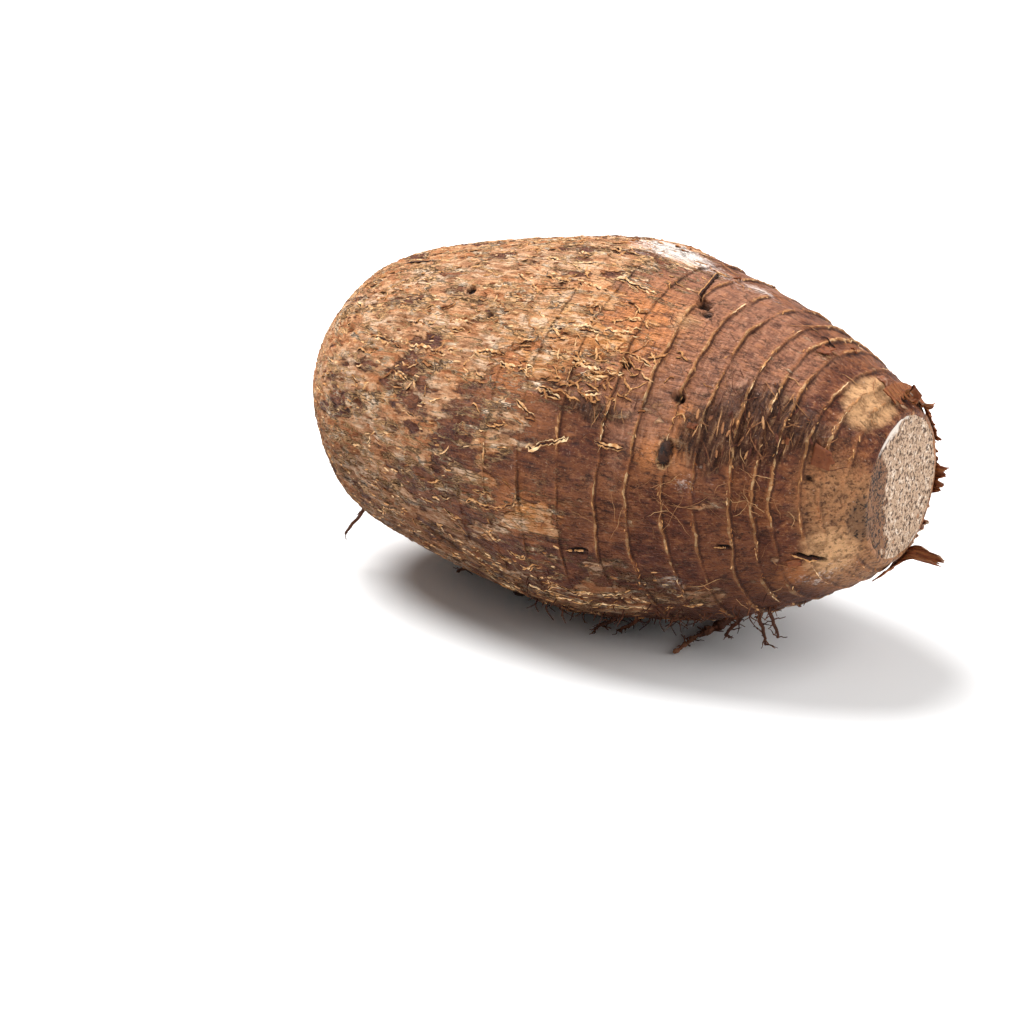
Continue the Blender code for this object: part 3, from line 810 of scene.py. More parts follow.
def cut_flesh_material(settings):
    """Cut flesh of the crown, dried to a crust: matt and pale, dotted by its dark vessels, browned
    by mould on one side, and with a pale bluish band at its rim, brightest on its upper side:
    partly a thin skin, partly painted highlight."""
    material, tree, shader = blank_material("dried_flesh")
    zone = attributes_of(tree, "rim", "mould")
    pattern = stretched_patterns(tree, {
        "pore": (1.5, 1.1, 3.0, 0.65, 31.0),
        "fine": (0.7, 0.6, 2.0, 0.65, 32.0),
        "cloud": (7.0, 7.0, 3.0, 0.6, 33.0),
        "dust": (2.2, 2.2, 3.0, 0.65, 34.0),
    })
    mask = masks(tree, {
        "pore": (0.48, 0.42, pattern["pore"]),
        "fine": (0.5, 0.41, pattern["fine"]),
        "cloud": (0.38, 0.62, pattern["cloud"]),
        "dust": (0.5, 0.66, pattern["dust"]),
        "mould": (0.75, 1.0, zone["mould"], (pattern["dust"], 0.9)),
        "rim": (0.75, 1.05, zone["rim"], (pattern["dust"], 0.4)),
    })
    colour = layered(tree, settings.flesh[:], [
        ("#a08368", mask["cloud"], 0.5),
        ("#e4d2be", mask["dust"], 0.75),
        ("#351c0b", mask["pore"], 0.95),
        ("#6a4830", mask["fine"], 0.6),
        ("#6f4424", mask["mould"], 0.92),
        ("#8c6336", mask["mould"], mask["dust"], 0.5),
        ("#160b05", mask["mould"], mask["cloud"], mask["fine"], 0.95),
        ("#0f0703", mask["mould"], mask["pore"], 0.95),
        # The pale bluish band at the rim: partly a thin skin, partly painted highlight on its upper side.
        ("#d2c8be", mask["rim"], 0.85),
    ])
    relief = added(tree, (pattern["pore"], 0.7), (pattern["fine"], 0.4), (pattern["dust"], 0.4))
    finished(tree, shader, colour, relief, 0.6, {"Roughness": 0.85})
    return material


# Geometry node trees


SOCKETS = {float: "NodeSocketFloat", int: "NodeSocketInt", bool: "NodeSocketBool", str: "NodeSocketString"}


def new_tree(name, inputs):
    """An empty geometry tree with the inputs, named with their defaults, and a material's."""
    tree = bpy.data.node_groups.new(name, "GeometryNodeTree")
    tree.interface.new_socket("Geometry", in_out="INPUT", socket_type="NodeSocketGeometry")
    tree.interface.new_socket("Geometry", in_out="OUTPUT", socket_type="NodeSocketGeometry")
    for label, default in inputs.items():
        socket = tree.interface.new_socket(label, in_out="INPUT", socket_type=SOCKETS[type(default)])
        socket.default_value = default
    tree.interface.new_socket("Material", in_out="INPUT", socket_type="NodeSocketMaterial")
    source = tree.nodes.new("NodeGroupInput")
    return tree, {socket.name: socket for socket in source.outputs if socket.name}


def end_tree(tree, geometry, material):
    """Realize Instances, Set Material and the output."""
    solid = add_node(tree, "GeometryNodeRealizeInstances", {}, {0: geometry})
    dressed = add_node(tree, "GeometryNodeSetMaterial", {}, {0: solid, "Material": material})
    tree.links.new(dressed, tree.nodes.new("NodeGroupOutput").inputs[0])


def stretched_noise(tree, sizes, seed, detail):
    """Noise from -1 to 1 at the points, for features of (along, across) metres given by sockets."""
    spread = add_node(tree, "ShaderNodeCombineXYZ", {}, {0: sizes[0], 1: sizes[1], 2: sizes[1]})
    place = add_node(tree, "GeometryNodeInputPosition", {}, {})
    scaled = add_node(tree, "ShaderNodeVectorMath", {"operation": "DIVIDE"}, {0: place, 1: spread})
    made = add_node(
        tree, "ShaderNodeTexNoise", {"noise_dimensions": "4D"},
        {"Vector": scaled, "W": seed, "Scale": 1.0, "Detail": detail, "Roughness": 0.6},
    )
    inputs = {"Value": made, "To Min": -1.0, "To Max": 1.0}
    return add_node(tree, "ShaderNodeMapRange", {"clamp": False}, inputs)


def relief_tree():
    """Raises crust, fine lines and matted fibre on the skin, by the skin's own zones."""
    tree, given = new_tree("bark_relief", {
        "Crust height": 0.7 * MM, "Crust length": 8.0 * MM, "Crust width": 2.3 * MM,
        "Stria depth": 0.16 * MM, "Fibre depth": 0.9 * MM, "Seed": 3.0,
    })
    zone = {
        name: add_node(tree, "GeometryNodeInputNamedAttribute", {"data_type": "FLOAT"}, {"Name": name})
        for name in ("cork", "fibre", "bare")
    }
    width = given["Crust width"]
    wave = stretched_noise(tree, (given["Crust length"], width), given["Seed"], 3.0)
    crest = add_node(tree, "ShaderNodeMath", {"operation": "ABSOLUTE"}, {0: added(tree, (wave, 2.2))})
    ridge = added(tree, 0.35, (crest, -1.0))
    stria = stretched_noise(tree, (added(tree, (width, 6.0)), added(tree, (width, 0.7))), given["Seed"], 2.0)
    matted = stretched_noise(tree, (added(tree, (width, 0.7)), added(tree, (width, 3.0))), given["Seed"], 3.0)
    raised = added(
        tree, (ridge, zone["cork"], given["Crust height"], 2.0), (stria, given["Stria depth"], 2.0),
        (matted, zone["fibre"], given["Fibre depth"]),
    )
    calm = added(tree, 1.0, (zone["bare"], -0.8))
    noted = add_node(
        tree, "GeometryNodeStoreNamedAttribute", {"data_type": "FLOAT", "domain": "POINT"},
        {"Geometry": given["Geometry"], "Name": "relief", "Value": ridge},
    )
    outwards = add_node(
        tree, "GeometryNodeInputNamedAttribute", {"data_type": "FLOAT_VECTOR"}, {"Name": "aim"}
    )
    amount = added(tree, (raised, calm))
    shift = add_node(tree, "ShaderNodeVectorMath", {"operation": "SCALE"}, {0: outwards, "Scale": amount})
    moved = add_node(tree, "GeometryNodeSetPosition", {}, {0: noted, "Offset": shift})
    smooth = add_node(tree, "GeometryNodeSetShadeSmooth", {}, {0: moved})
    end_tree(tree, smooth, given["Material"])
    return tree


def strand_tree():
    """Turns lines with a thickness at each point into rough cords."""
    tree, given = new_tree("rough_strands", {
        "Sides": 5, "Roughness": 0.2 * MM, "Lump length": 1.2 * MM, "Seed": 1.0, "Smooth": True,
    })
    thick = add_node(tree, "GeometryNodeInputNamedAttribute", {"data_type": "FLOAT"}, {"Name": "thick"})
    line = add_node(tree, "GeometryNodeMeshToCurve", {}, {0: given["Geometry"]})
    inputs = {"Resolution": given["Sides"], "Radius": 1.0}
    ring = add_node(tree, "GeometryNodeCurvePrimitiveCircle", {}, inputs)
    inputs = {"Curve": line, "Profile Curve": ring, "Scale": thick, "Fill Caps": True}
    cord = add_node(tree, "GeometryNodeCurveToMesh", {}, inputs)
    lumpy = stretched_noise(tree, (given["Lump length"], given["Lump length"]), given["Seed"], 2.0)
    outwards = add_node(tree, "GeometryNodeInputNormal", {}, {})
    amount = added(tree, (lumpy, given["Roughness"]))
    shift = add_node(tree, "ShaderNodeVectorMath", {"operation": "SCALE"}, {0: outwards, "Scale": amount})
    moved = add_node(tree, "GeometryNodeSetPosition", {}, {0: cord, "Offset": shift})
    smooth = add_node(tree, "GeometryNodeSetShadeSmooth", {}, {0: moved, "Shade Smooth": given["Smooth"]})
    end_tree(tree, smooth, given["Material"])
    return tree


def chip_tree():
    """Scatters small long chips over a surface, more where the named zone is. Round is 0 for chips
    along the corm and 1 for chips round it, and their tone is between Darkest and Palest."""
    tree, given = new_tree("crust_chips", {
        "Zone": "cork", "Round": 0.0, "Density": 160000.0, "Chip length": 2.6 * MM,
        "Darkest": 0.2, "Palest": 1.0, "Seed": 1,
    })
    zone = add_node(
        tree, "GeometryNodeInputNamedAttribute", {"data_type": "FLOAT"}, {"Name": given["Zone"]}
    )
    density = added(tree, (given["Density"], zone, zone))
    points = add_node(
        tree, "GeometryNodeDistributePointsOnFaces", {},
        {"Mesh": given["Geometry"], "Density": density, "Seed": given["Seed"]},
    )
    outwards = points.node.outputs["Normal"]
    along = (1.0, 0.0, 0.0)
    across = add_node(tree, "ShaderNodeVectorMath", {"operation": "CROSS_PRODUCT"}, {0: outwards, 1: along})
    heading = add_node(
        tree, "ShaderNodeMix", {"data_type": "VECTOR"}, {0: given["Round"], 4: along, 5: across}, 1
    )
    stray = add_node(
        tree, "FunctionNodeRandomValue", {"data_type": "FLOAT_VECTOR"},
        {"Min": (-0.4, -0.4, -0.4), "Max": (0.4, 0.4, 0.4), "Seed": 3}, 0,
    )
    drift = add_node(tree, "ShaderNodeVectorMath", {"operation": "ADD"}, {0: heading, 1: stray})
    axes = {"primary_axis": "Z", "secondary_axis": "X"}
    turn = add_node(tree, "FunctionNodeAxesToRotation", axes, {0: outwards, 1: drift})
    size = add_node(
        tree, "FunctionNodeRandomValue", {"data_type": "FLOAT_VECTOR"},
        {"Min": (0.3, 0.10, 0.06), "Max": (1.0, 0.25, 0.17), "Seed": 4}, 0,
    )
    inputs = {"Radius": given["Chip length"], "Subdivisions": 1}
    chip = add_node(tree, "GeometryNodeMeshIcoSphere", {}, inputs)
    shrunk = add_node(tree, "GeometryNodeTransform", {}, {0: chip, "Scale": (0.5, 0.5, 0.5)})
    inputs = {2: given["Darkest"], 3: given["Palest"], "Seed": 5}
    tone = add_node(tree, "FunctionNodeRandomValue", {"data_type": "FLOAT"}, inputs, 1)
    toned = add_node(
        tree, "GeometryNodeStoreNamedAttribute", {"data_type": "FLOAT", "domain": "POINT"},
        {"Geometry": points, "Name": "tone", "Value": tone},
    )
    inputs = {"Points": toned, "Instance": shrunk, "Rotation": turn, "Scale": size}
    placed = add_node(tree, "GeometryNodeInstanceOnPoints", {}, inputs)
    flat = add_node(tree, "GeometryNodeSetShadeSmooth", {}, {0: placed, "Shade Smooth": False})
    end_tree(tree, flat, given["Material"])
    return tree


# Making pieces


def linked(name, mesh):
    """A new object of the mesh, in the scene."""
    thing = bpy.data.objects.new(name, mesh)
    bpy.context.scene.collection.objects.link(thing)
    return thing


def plain(thing, modifier):
    """Keeps what the modifier shows as the object's plain mesh, and takes the modifier off."""
    bpy.context.view_layer.update()
    graph = bpy.context.evaluated_depsgraph_get()
    made = bpy.data.meshes.new_from_object(
        thing.evaluated_get(graph), preserve_all_data_layers=True, depsgraph=graph
    )
    thing.modifiers.remove(modifier)
    source = thing.data
    thing.data = made
    bpy.data.meshes.remove(source)
    made.name = thing.name
    if not made.polygons:
        raise RuntimeError(f"{thing.name} came out empty")
    return thing


def grown(thing, tree, values):
    """Runs the geometry tree on the object, with its inputs set by their names."""
    modifier = thing.modifiers.new(tree.name, "NODES")
    modifier.node_group = tree
    named = {item.name: item.identifier for item in tree.interface.items_tree if item.in_out == "INPUT"}
    for label, value in values.items():
        modifier[named[label]] = value
    return plain(thing, modifier)


def on_the_floor(thing):
    """Keeps every point at or above the surface that the corm lies on."""
    mesh = thing.data
    points = np.zeros(len(mesh.vertices) * 3, np.float32)
    mesh.vertices.foreach_get("co", points)
    points[2::3] = np.maximum(points[2::3], 0.0)
    mesh.vertices.foreach_set("co", points)
    mesh.update()


def settle(thing, slot, *nodes):
    """Hands the finished piece to the frame, in place of the nodes where it has any."""
    on_the_floor(thing)
    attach(thing, "root")
    if nodes:
        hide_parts(*nodes)


def strand_object(name, strands, tree, values):
    """One object of all the strands, each (points in metres, thickness in metres, tone)."""
    mesh = bpy.data.meshes.new(name)
    points, edges, thick, tones = [], [], [], []
    for line, widths, tone in strands:
        edges += [(len(points) + i, len(points) + i + 1) for i in range(len(line) - 1)]
        points += [tuple(p) for p in line]
        thick += list(np.broadcast_to(widths, len(line)))
        tones += list(np.broadcast_to(tone, len(line)))
    mesh.from_pydata(points, edges, [])
    for label, values_there in (("thick", thick), ("tone", tones)):
        made = mesh.attributes.new(label, "FLOAT", "POINT")
        made.data.foreach_set("value", np.array(values_there, np.float32))
    return grown(linked(name, mesh), tree, values)


def uneven(draw, low, high, count):
    """So many random numbers between low and high."""
    return np.array([draw.uniform(low, high) for _ in range(count)])


def jolts(draw, size, count):
    """So many random shifts along x, y and z."""
    return np.column_stack([[draw.gauss(0.0, size) for _ in range(count)] for _ in range(3)])


def tapered(share, steep, least, foot=0.0):
    """1 along most of a line, and less towards its two ends."""
    return np.clip(steep * np.minimum(share, 1 - share) + foot, least, 1.0)


def wander(draw, along, degrees, heading, length, step=1.0, swerve=0.18, pull=0.15):
    """A line that wanders over the skin: heading 0 runs to the crown, 90 round the corm."""
    places, aim = [(along, degrees)], math.radians(heading)
    home = aim
    for _ in range(max(3, round(length / step))):
        aim += draw.gauss(0.0, swerve) + pull * (home - aim)
        along = min(max(along + step * math.cos(aim), 1.5), LENGTH - 2.0)
        degrees += math.degrees(step * math.sin(aim) / max(8.0, float(outline_radius(along))))
        places.append((along, degrees))
    return np.array(places)


def crack_strands(draw, places, width, tone):
    """Two lips of cork along the places, and a dark cord between them for the painted shade in the split."""
    count = len(places)
    share = np.linspace(0.0, 1.0, count)
    taper = tapered(share, count / 2.5, 0.12)
    radius = np.maximum(outline_radius(places[:, 0]), 8.0)
    run = np.gradient(places[:, 0]), np.radians(np.gradient(places[:, 1])) * radius
    size = np.hypot(*run)
    made = []
    for side, bold in zip((-1, 1), draw.sample((0.7, 1.3), 2)):
        apart = side * width * (0.3 + 0.55 * uneven(draw, 0.0, 1.0, count)) * taper
        along = places[:, 0] - apart * run[1] / size
        degrees = places[:, 1] + np.degrees(apart * run[0] / size / radius)
        phase = draw.uniform(0.0, 9.0)
        crumbled = np.clip(0.75 + 0.55 * np.sin(share * count * 0.33 + phase), 0.15, 1.0)
        widths = width * 0.46 * bold * taper * crumbled * uneven(draw, 0.3, 1.2, count)
        worn = uneven(draw, -0.25, 0.2, count)
        made.append((skin_point(along, degrees, 0.05), widths * MM, tone + worn))
    # The dark cord between the lips: painted shade in the split.
    core = 0.28 * width * taper * uneven(draw, 0.2, 1.1, count)
    made.append((skin_point(places[:, 0], places[:, 1], 0.06), core * MM, 0.02))
    return made


# Splits that the skin shows: from (along, degrees) to (along, degrees), width in millimetres
SPLITS = (
    (42.6, 53.0, 58.8, 53.5, 1.1), (56.8, 54.3, 93.6, 52.5, 1.0), (53.0, 46.0, 76.6, 46.3, 0.9),
    (94.3, 56.0, 106.5, 55.4, 1.1), (104.5, 42.0, 134.0, 37.0, 1.1), (116.0, 51.0, 134.0, 50.5, 1.1),
    (110.0, 79.0, 123.0, 73.4, 1.0), (109.0, 62.4, 118.7, 62.6, 1.1), (122.7, 60.3, 129.5, 58.6, 1.0),
    (130.6, 72.6, 140.0, 74.2, 0.9), (104.0, 66.0, 112.0, 70.0, 0.9), (127.0, 45.0, 141.0, 46.5, 0.8),
    (116.0, 18.0, 131.0, 20.0, 1.0), (97.0, 22.0, 118.0, 24.0, 1.0), (88.0, 12.0, 108.0, 14.0, 1.0),
    (112.0, 123.0, 128.0, 128.0, 0.9), (128.0, 128.0, 143.0, 134.0, 0.9), (104.0, 128.0, 140.0, 140.0, 0.8),
)


def cork_strands(settings):
    """The cork along the splits, ridges, slits and leaf scars of the skin, with dark cords for the
    painted shade in the splits and slits and beside most ridges.
    """
    draw = random.Random(settings.seed)
    width = settings.lip_width / MM
    strands = []
    for a0, d0, a1, d1, size in SPLITS:
        length = math.hypot(a1 - a0, math.radians(d1 - d0) * float(outline_radius(a0)))
        count = max(8, round(length / 0.65))
        share = np.linspace(0.0, 1.0, count)
        stray = np.cumsum([draw.gauss(0.0, 0.36) for _ in range(count)])
        stray = stray - share * stray[-1]
        places = np.column_stack([a0 + share * (a1 - a0), d0 + share * (d1 - d0) + stray * 0.8])
        strands += crack_strands(draw, places, width * size, draw.uniform(0.7, 0.9))
    for _ in range(settings.cracks):
        along = draw.uniform(8.0, 150.0)
        degrees = draw.uniform(0.0, 360.0)
        bellied = 108.0 < degrees < 148.0 or 205.0 < degrees < 248.0
        if along > 104.0 and 56.0 < degrees < 108.0 or along > 128.0 and not bellied:
            continue
        heading = draw.gauss(0.0, 42.0 if bellied else 13.0)
        places = wander(draw, along, degrees, heading, draw.uniform(5.0, 24.0), 0.65, 0.24)
        strands += crack_strands(draw, places, width * draw.uniform(0.45, 0.9), draw.uniform(0.5, 0.85))
    for turn in range(settings.ridges):
        along, degrees = draw.uniform(4.0, 136.0), draw.uniform(0.0, 360.0)
        if turn % 4 == 0:
            along, degrees = draw.gauss(120.0, 12.0), draw.gauss(50.0, 12.0)
        if turn % 4 == 1:
            along, degrees = draw.uniform(15.0, 120.0), draw.uniform(-40.0, 75.0)
        if along > 108.0 and 62.0 < degrees < 106.0:
            continue
        places = wander(draw, along, degrees, draw.gauss(0.0, 28.0), draw.uniform(1.6, 6.0), 0.6, 0.4)
        share = np.linspace(0.0, 1.0, len(places))
        size = width * draw.uniform(0.16, 0.48) * tapered(share, 5, 0.1, 0.1)
        size = size * uneven(draw, 0.5, 1.2, len(share))
        tone = draw.uniform(0.35, 0.75)
        strands.append((skin_point(places[:, 0], places[:, 1], 0.1), size * MM, tone))
        # A dark cord beside most ridges: painted shadow.
        if draw.random() < 0.7:
            shade = places[:, 1] + math.degrees(0.4 * width / outline_radius(along))
            strands.append((skin_point(places[:, 0], shade, 0.04), 0.7 * size * MM, 0.04))
    for (a0, d0), (a1, d1), half_width, _ in SLITS:
        share = np.linspace(0.0, 1.0, 26)
        stray = np.cumsum([draw.gauss(0.0, 0.12) for _ in share])
        along, degrees = a0 + share * (a1 - a0) + stray, d0 + share * (d1 - d0)
        ends = tapered(share, 8, 0.2)
        # A dark cord sunk in each slit: painted shade; beside it, a pale lip of cork.
        strands.append((skin_point(along, degrees, -0.1), 0.55 * half_width * ends * MM, 0.0))
        lip = half_width * ends * uneven(draw, 0.2, 0.5, len(share))
        strands.append((skin_point(along - 1.1 * half_width, degrees, 0.05), lip * MM, 0.6))
    for scar in SCARS[:-1]:
        strands += scar_strands(draw, scar, width)
    return strands


def scar_strands(draw, scar, width):
    """Broken cream cord along the crest of a leaf scar."""
    made = []
    radius = float(outline_radius(scar))
    turn = draw.uniform(0.0, 0.2)
    bold = {97.0: 1.5, 108.0: 1.1, 177.5: 1.25, 170.8: 1.1}.get(scar, 0.75)
    share = 0.06 if scar < 90.0 else 0.22 if scar < 192.0 else 0.12
    while turn < math.tau:
        length = draw.uniform(2.0, 11.0) / radius
        front = 60.0 < math.degrees(turn) < 300.0
        corky = scar < 135.0 and not 55.0 < math.degrees(turn) < 110.0 and scar != 97.0
        if draw.random() < share * (0.3 if corky else 1.0) and not (front and scar > 191.0):
            turns = np.arange(turn, min(turn + length, math.tau), 0.8 / radius)
            count = len(turns)
            if count > 4:
                along = scar - 0.1 + waver(scar, turns) + np.array([draw.gauss(0.0, 0.1) for _ in turns])
                ends = np.clip(np.minimum(np.arange(count), np.arange(count)[::-1]) / 3.0, 0.15, 1.0)
                size = bold * (0.7 if front else 1.0) * draw.uniform(0.7, 1.15)
                widths = width * size * 0.26 * ends * uneven(draw, 0.4, 1.15, count)
                tone = draw.uniform(0.45, 1.0) + uneven(draw, -0.2, 0.2, count)
                made.append((skin_point(along, np.degrees(turns), -0.06), widths * MM, tone))
        turn += length + draw.uniform(0.3, 4.0) / radius
    return made


# The mats of fibre: along, degrees round, spread along, spread round, share of the fibres
MATS = ((173.0, 58.0, 9.0, 11.0, 0.5), (128.0, 64.0, 8.0, 4.0, 0.12), (166.0, 250.0, 9.0, 11.0, 0.28))
# The long dark hairs on the top: along, degrees round, length
TOP_HAIRS = ((33.0, 12.0, 14.0), (60.0, -22.0, 8.0), (90.0, -20.0, 5.0), (175.0, 0.0, 6.0))


def fibre_strands(settings):
    """Matted fibres that run round the corm in the mats, and loose root hairs elsewhere."""
    draw = random.Random(settings.seed)
    width = settings.width
    strands = []

    def hair(along, degrees, heading, length, thick, tone, arch, swerve=0.2):
        places = wander(draw, along, degrees, heading, length, 1.1, swerve)
        share = np.linspace(0.0, 1.0, len(places))
        above = arch * np.sin(share * math.pi) ** 0.7 + 0.05 + 0.12 * np.sin(share * 9 + degrees)
        widths = thick * tapered(share, 4, 0.25, 0.25)
        strands.append((skin_point(places[:, 0], places[:, 1], above), widths / 2, tone))

    for along, degrees, reach, spread, share in MATS:
        for _ in range(round(settings.matted * share)):
            a, d = draw.gauss(along, reach), draw.gauss(degrees, spread)
            tone = draw.choice((0.2, 0.35, 0.45, 0.6, 0.75)) + draw.uniform(-0.08, 0.08)
            arch = draw.choice((0.05, 0.1, 0.2, 0.5))
            heading = draw.gauss(-100.0, 24.0)
            hair(a, d, heading, draw.uniform(3.0, 10.0), width * draw.uniform(0.4, 1.1), tone, arch, 0.14)
    for _ in range(settings.loose):
        a, d = draw.uniform(100.0, 196.0), draw.uniform(0.0, 360.0)
        heading = draw.choice((draw.gauss(90.0, 30.0), draw.gauss(0.0, 40.0)))
        length, thick = draw.uniform(3.0, 12.0), width * draw.uniform(0.45, 0.9)
        hair(a, d, heading, length, thick, draw.uniform(0.25, 0.9), draw.uniform(0.0, 0.35), 0.3)
    for _ in range(20):
        a, d = draw.gauss(149.0, 8.0), draw.gauss(86.0, 4.0)
        heading = draw.choice((40.0, 55.0, 90.0, 20.0, -30.0)) + draw.gauss(0.0, 12.0)
        hair(a, d, heading, draw.uniform(6.0, 17.0), width * 0.5, draw.uniform(0.45, 0.8), 0.15, 0.2)
    for _ in range(15):
        a, d = draw.gauss(174.0, 4.0), draw.gauss(80.0, 4.0)
        heading, length = draw.gauss(70.0, 35.0), draw.uniform(3.0, 11.0)
        hair(a, d, heading, length, width * 0.65, draw.uniform(0.45, 0.85), 0.5, 0.35)
    for along, degrees, length in TOP_HAIRS:
        hair(along, degrees, draw.gauss(4.0, 3.0), length, width * 1.7, 0.05, 0.5, 0.05)
    return strands


def crown_disc(settings):
    """The cut crown: a slightly dished face with a worn, lifted rim."""
    radius = float(outline_radius(RIM)) - 1.15
    shares = np.concatenate([np.linspace(0.02, 0.94, 46), [0.965, 0.985, 1.0, 1.03]])
    turns = np.linspace(0.0, math.tau, CROWN_SIDES, endpoint=False)
    share, turn = np.meshgrid(shares, turns, indexing="ij")
    ragged = 1.0 + 0.012 * np.sin(7 * turn + 1.0) + 0.008 * np.sin(17 * turn)
    along = LENGTH - 0.15 + 0.12 * ramp(share, 0.8, 0.95) - 1.1 * ramp(share, 0.955, 1.03)
    flat = in_place(along, turn, share * radius * ragged)
    swell = rough(flat.reshape(-1, 3), 6.0, 41).reshape(share.shape)
    grain = rough(flat.reshape(-1, 3), 1.6, 42).reshape(share.shape)
    along = along + (0.22 * swell + 0.16 * grain) * ramp(share, 1.03, 0.9) - 0.05
    places = in_place(along, turn, share * radius * ragged)
    degrees = np.degrees(turn)
    # The rim's pale band shows mostly on the disc's upper side and less on its lower back, with an inner band
    # towards the top: partly a thin bluish skin, partly painted highlight.
    rim_highlight_share = np.exp(-((round_from(degrees, 20.0) / 42.0) ** 2))
    rim_highlight_share = rim_highlight_share + 0.7 * np.exp(-((round_from(degrees, 205.0) / 50.0) ** 2))
    mould = ramp(share * np.sin(turn) + 0.2 * swell + 0.16 * grain, 0.3, 0.6) * ramp(np.cos(turn), 0.88, 0.5)
    inner = 0.7 * ramp(share + 0.08 * swell, 0.74, 0.92) * ramp(np.cos(turn), 0.3, 0.9)
    rim = np.maximum(ramp(share, 0.86, 0.95), inner)
    attributes = {"rim": rim * np.clip(rim_highlight_share, 0, 1), "mould": mould}
    mesh = grid_mesh("crown_cut", places[::-1], {k: v[::-1] for k, v in attributes.items()})
    mesh.materials.append(cut_flesh_material(settings))
    mesh.shade_smooth()
    return linked("crown_cut", mesh)


# Sheath collar, as in its solid: the flaps are degrees round, half width, length, opening, curl
COLLAR_SPAN = (172.0, 366.0)
COLLAR_WIDTH = 6.5
COLLAR_GAP = 0.45
FLAPS = (
    (199.0, 8.0, 12.0, 48.0, 0.0), (224.0, 6.0, 2.5, 25.0, 0.0), (260.0, 15.0, 3.6, 62.0, 0.0),
    (292.0, 7.0, 2.0, 30.0, 0.0), (326.0, 6.0, 3.5, 45.0, 6.0), (347.0, 2.6, 9.0, 50.0, 32.0),
)


def collar_edge(degrees):
    """(reach, opening, curl) of the torn edge there."""
    ragged = 1.6 * math.sin(0.31 * degrees) * math.sin(0.83 * degrees + 1.0)
    edge = np.array((ragged - 1.2, 12.0, 0.0))
    for centre, half_width, length, opening, curl in FLAPS:
        share = min(1.0, 1.8 * max(0.0, 1.0 - abs(degrees - centre) / half_width))
        edge += share * np.array((length, opening - 12.0, curl))
    return edge


def collar_line(degrees, rows, lift):
    """A line of the collar from the skin to its torn edge, so far above the solid's inner face."""
    reach, opening, curl = collar_edge(degrees)
    torn = 0.5 * noise.noise(Vector((degrees * 1.1, 3.0, 0.0)))
    torn += 0.35 * noise.noise(Vector((degrees * 3.1, 7.0, 0.0)))
    full = COLLAR_WIDTH + reach * (1.0 + 0.3 * torn) + torn
    slope = float(outline_radius(RIM) - outline_radius(RIM - COLLAR_WIDTH)) / COLLAR_WIDTH
    heading = math.atan(slope)
    along = RIM - COLLAR_WIDTH * math.cos(heading)
    out = float(outline_radius(along)) + COLLAR_GAP + 1.15 + lift
    step = full / (rows - 1)
    line = [(along, out)]
    for i in range(rows - 1):
        past_rim = max(0.0, step * (i + 0.5) - COLLAR_WIDTH + 1.0)
        bend = math.radians(opening * min(1.0, past_rim / 3.0) + curl * past_rim)
        along += step * math.cos(heading + bend)
        out += step * math.sin(heading + bend)
        line.append((along, out))
    return line


def grid_faces(cage, grid):
    """Joins the rows of points in the cage by faces."""
    for here, there in zip(grid[:-1], grid[1:]):
        for row in range(len(here) - 1):
            cage.faces.new((here[row], there[row], there[row + 1], here[row + 1]))


def sheath_layer(cage, span, rows, lift, crinkle, attributes):
    """Adds one crinkled layer of sheath to the cage, as a grid open at its edges."""
    columns = round((span[1] - span[0]) * 2.4)
    tone_layer, vein_layer = attributes
    grid = []
    for column in range(columns + 1):
        degrees = span[0] + (span[1] - span[0]) * column / columns
        edge = min(1.0, (degrees - span[0]) / 5.0 + 0.15, (span[1] - degrees) / 5.0 + 0.15)
        ring = []
        for row, (along, out) in enumerate(collar_line(degrees, rows, lift)):
            share = row / (rows - 1)
            creased = noise.noise(Vector((degrees * 0.55, share * 2.0, lift * 9.0)))
            creased += 0.5 * noise.noise(Vector((degrees * 1.7, share * 5.0, lift * 9.0 + 4.0)))
            out += crinkle * creased * (0.25 + 0.75 * share)
            point = cage.verts.new(in_place(np.float64(along), math.radians(degrees), np.float64(out)))
            whitish = 0.5 * math.exp(-(((degrees - 336.0) / 9.0) ** 2))
            whitish += 0.7 * math.exp(-(((degrees - 224.0) / 24.0) ** 2))
            pale_edge = 0.3 * max(0.0, share - 0.85) / 0.15 * edge
            point[tone_layer] = min(1.0, whitish * (0.35 + 0.65 * share) + pale_edge)
            point[vein_layer] = 0.5 + 0.5 * math.sin(degrees * 2.9 + 2.0 * math.sin(degrees * 0.7))
            ring.append(point)
        grid.append(ring)
    grid_faces(cage, grid)


# Loose scales of old sheath: along, degrees round, length, width, lift of the free edge, tone
SCALES = (
    (189.5, 61.0, 6.0, 6.0, 1.2, 0.0), (177.5, 8.0, 4.0, 4.5, 1.1, 0.0), (192.0, 352.0, 6.5, 4.0, 0.7, 0.5),
    (195.0, 320.0, 6.0, 4.0, 1.0, 0.2), (184.0, 118.0, 4.0, 2.5, 0.5, 0.0),
    (176.0, 250.0, 6.0, 4.0, 1.0, 0.0), (186.0, 285.0, 5.0, 5.0, 0.9, 0.1),
    (156.0, 62.0, 3.0, 1.6, 0.6, 0.0),
)


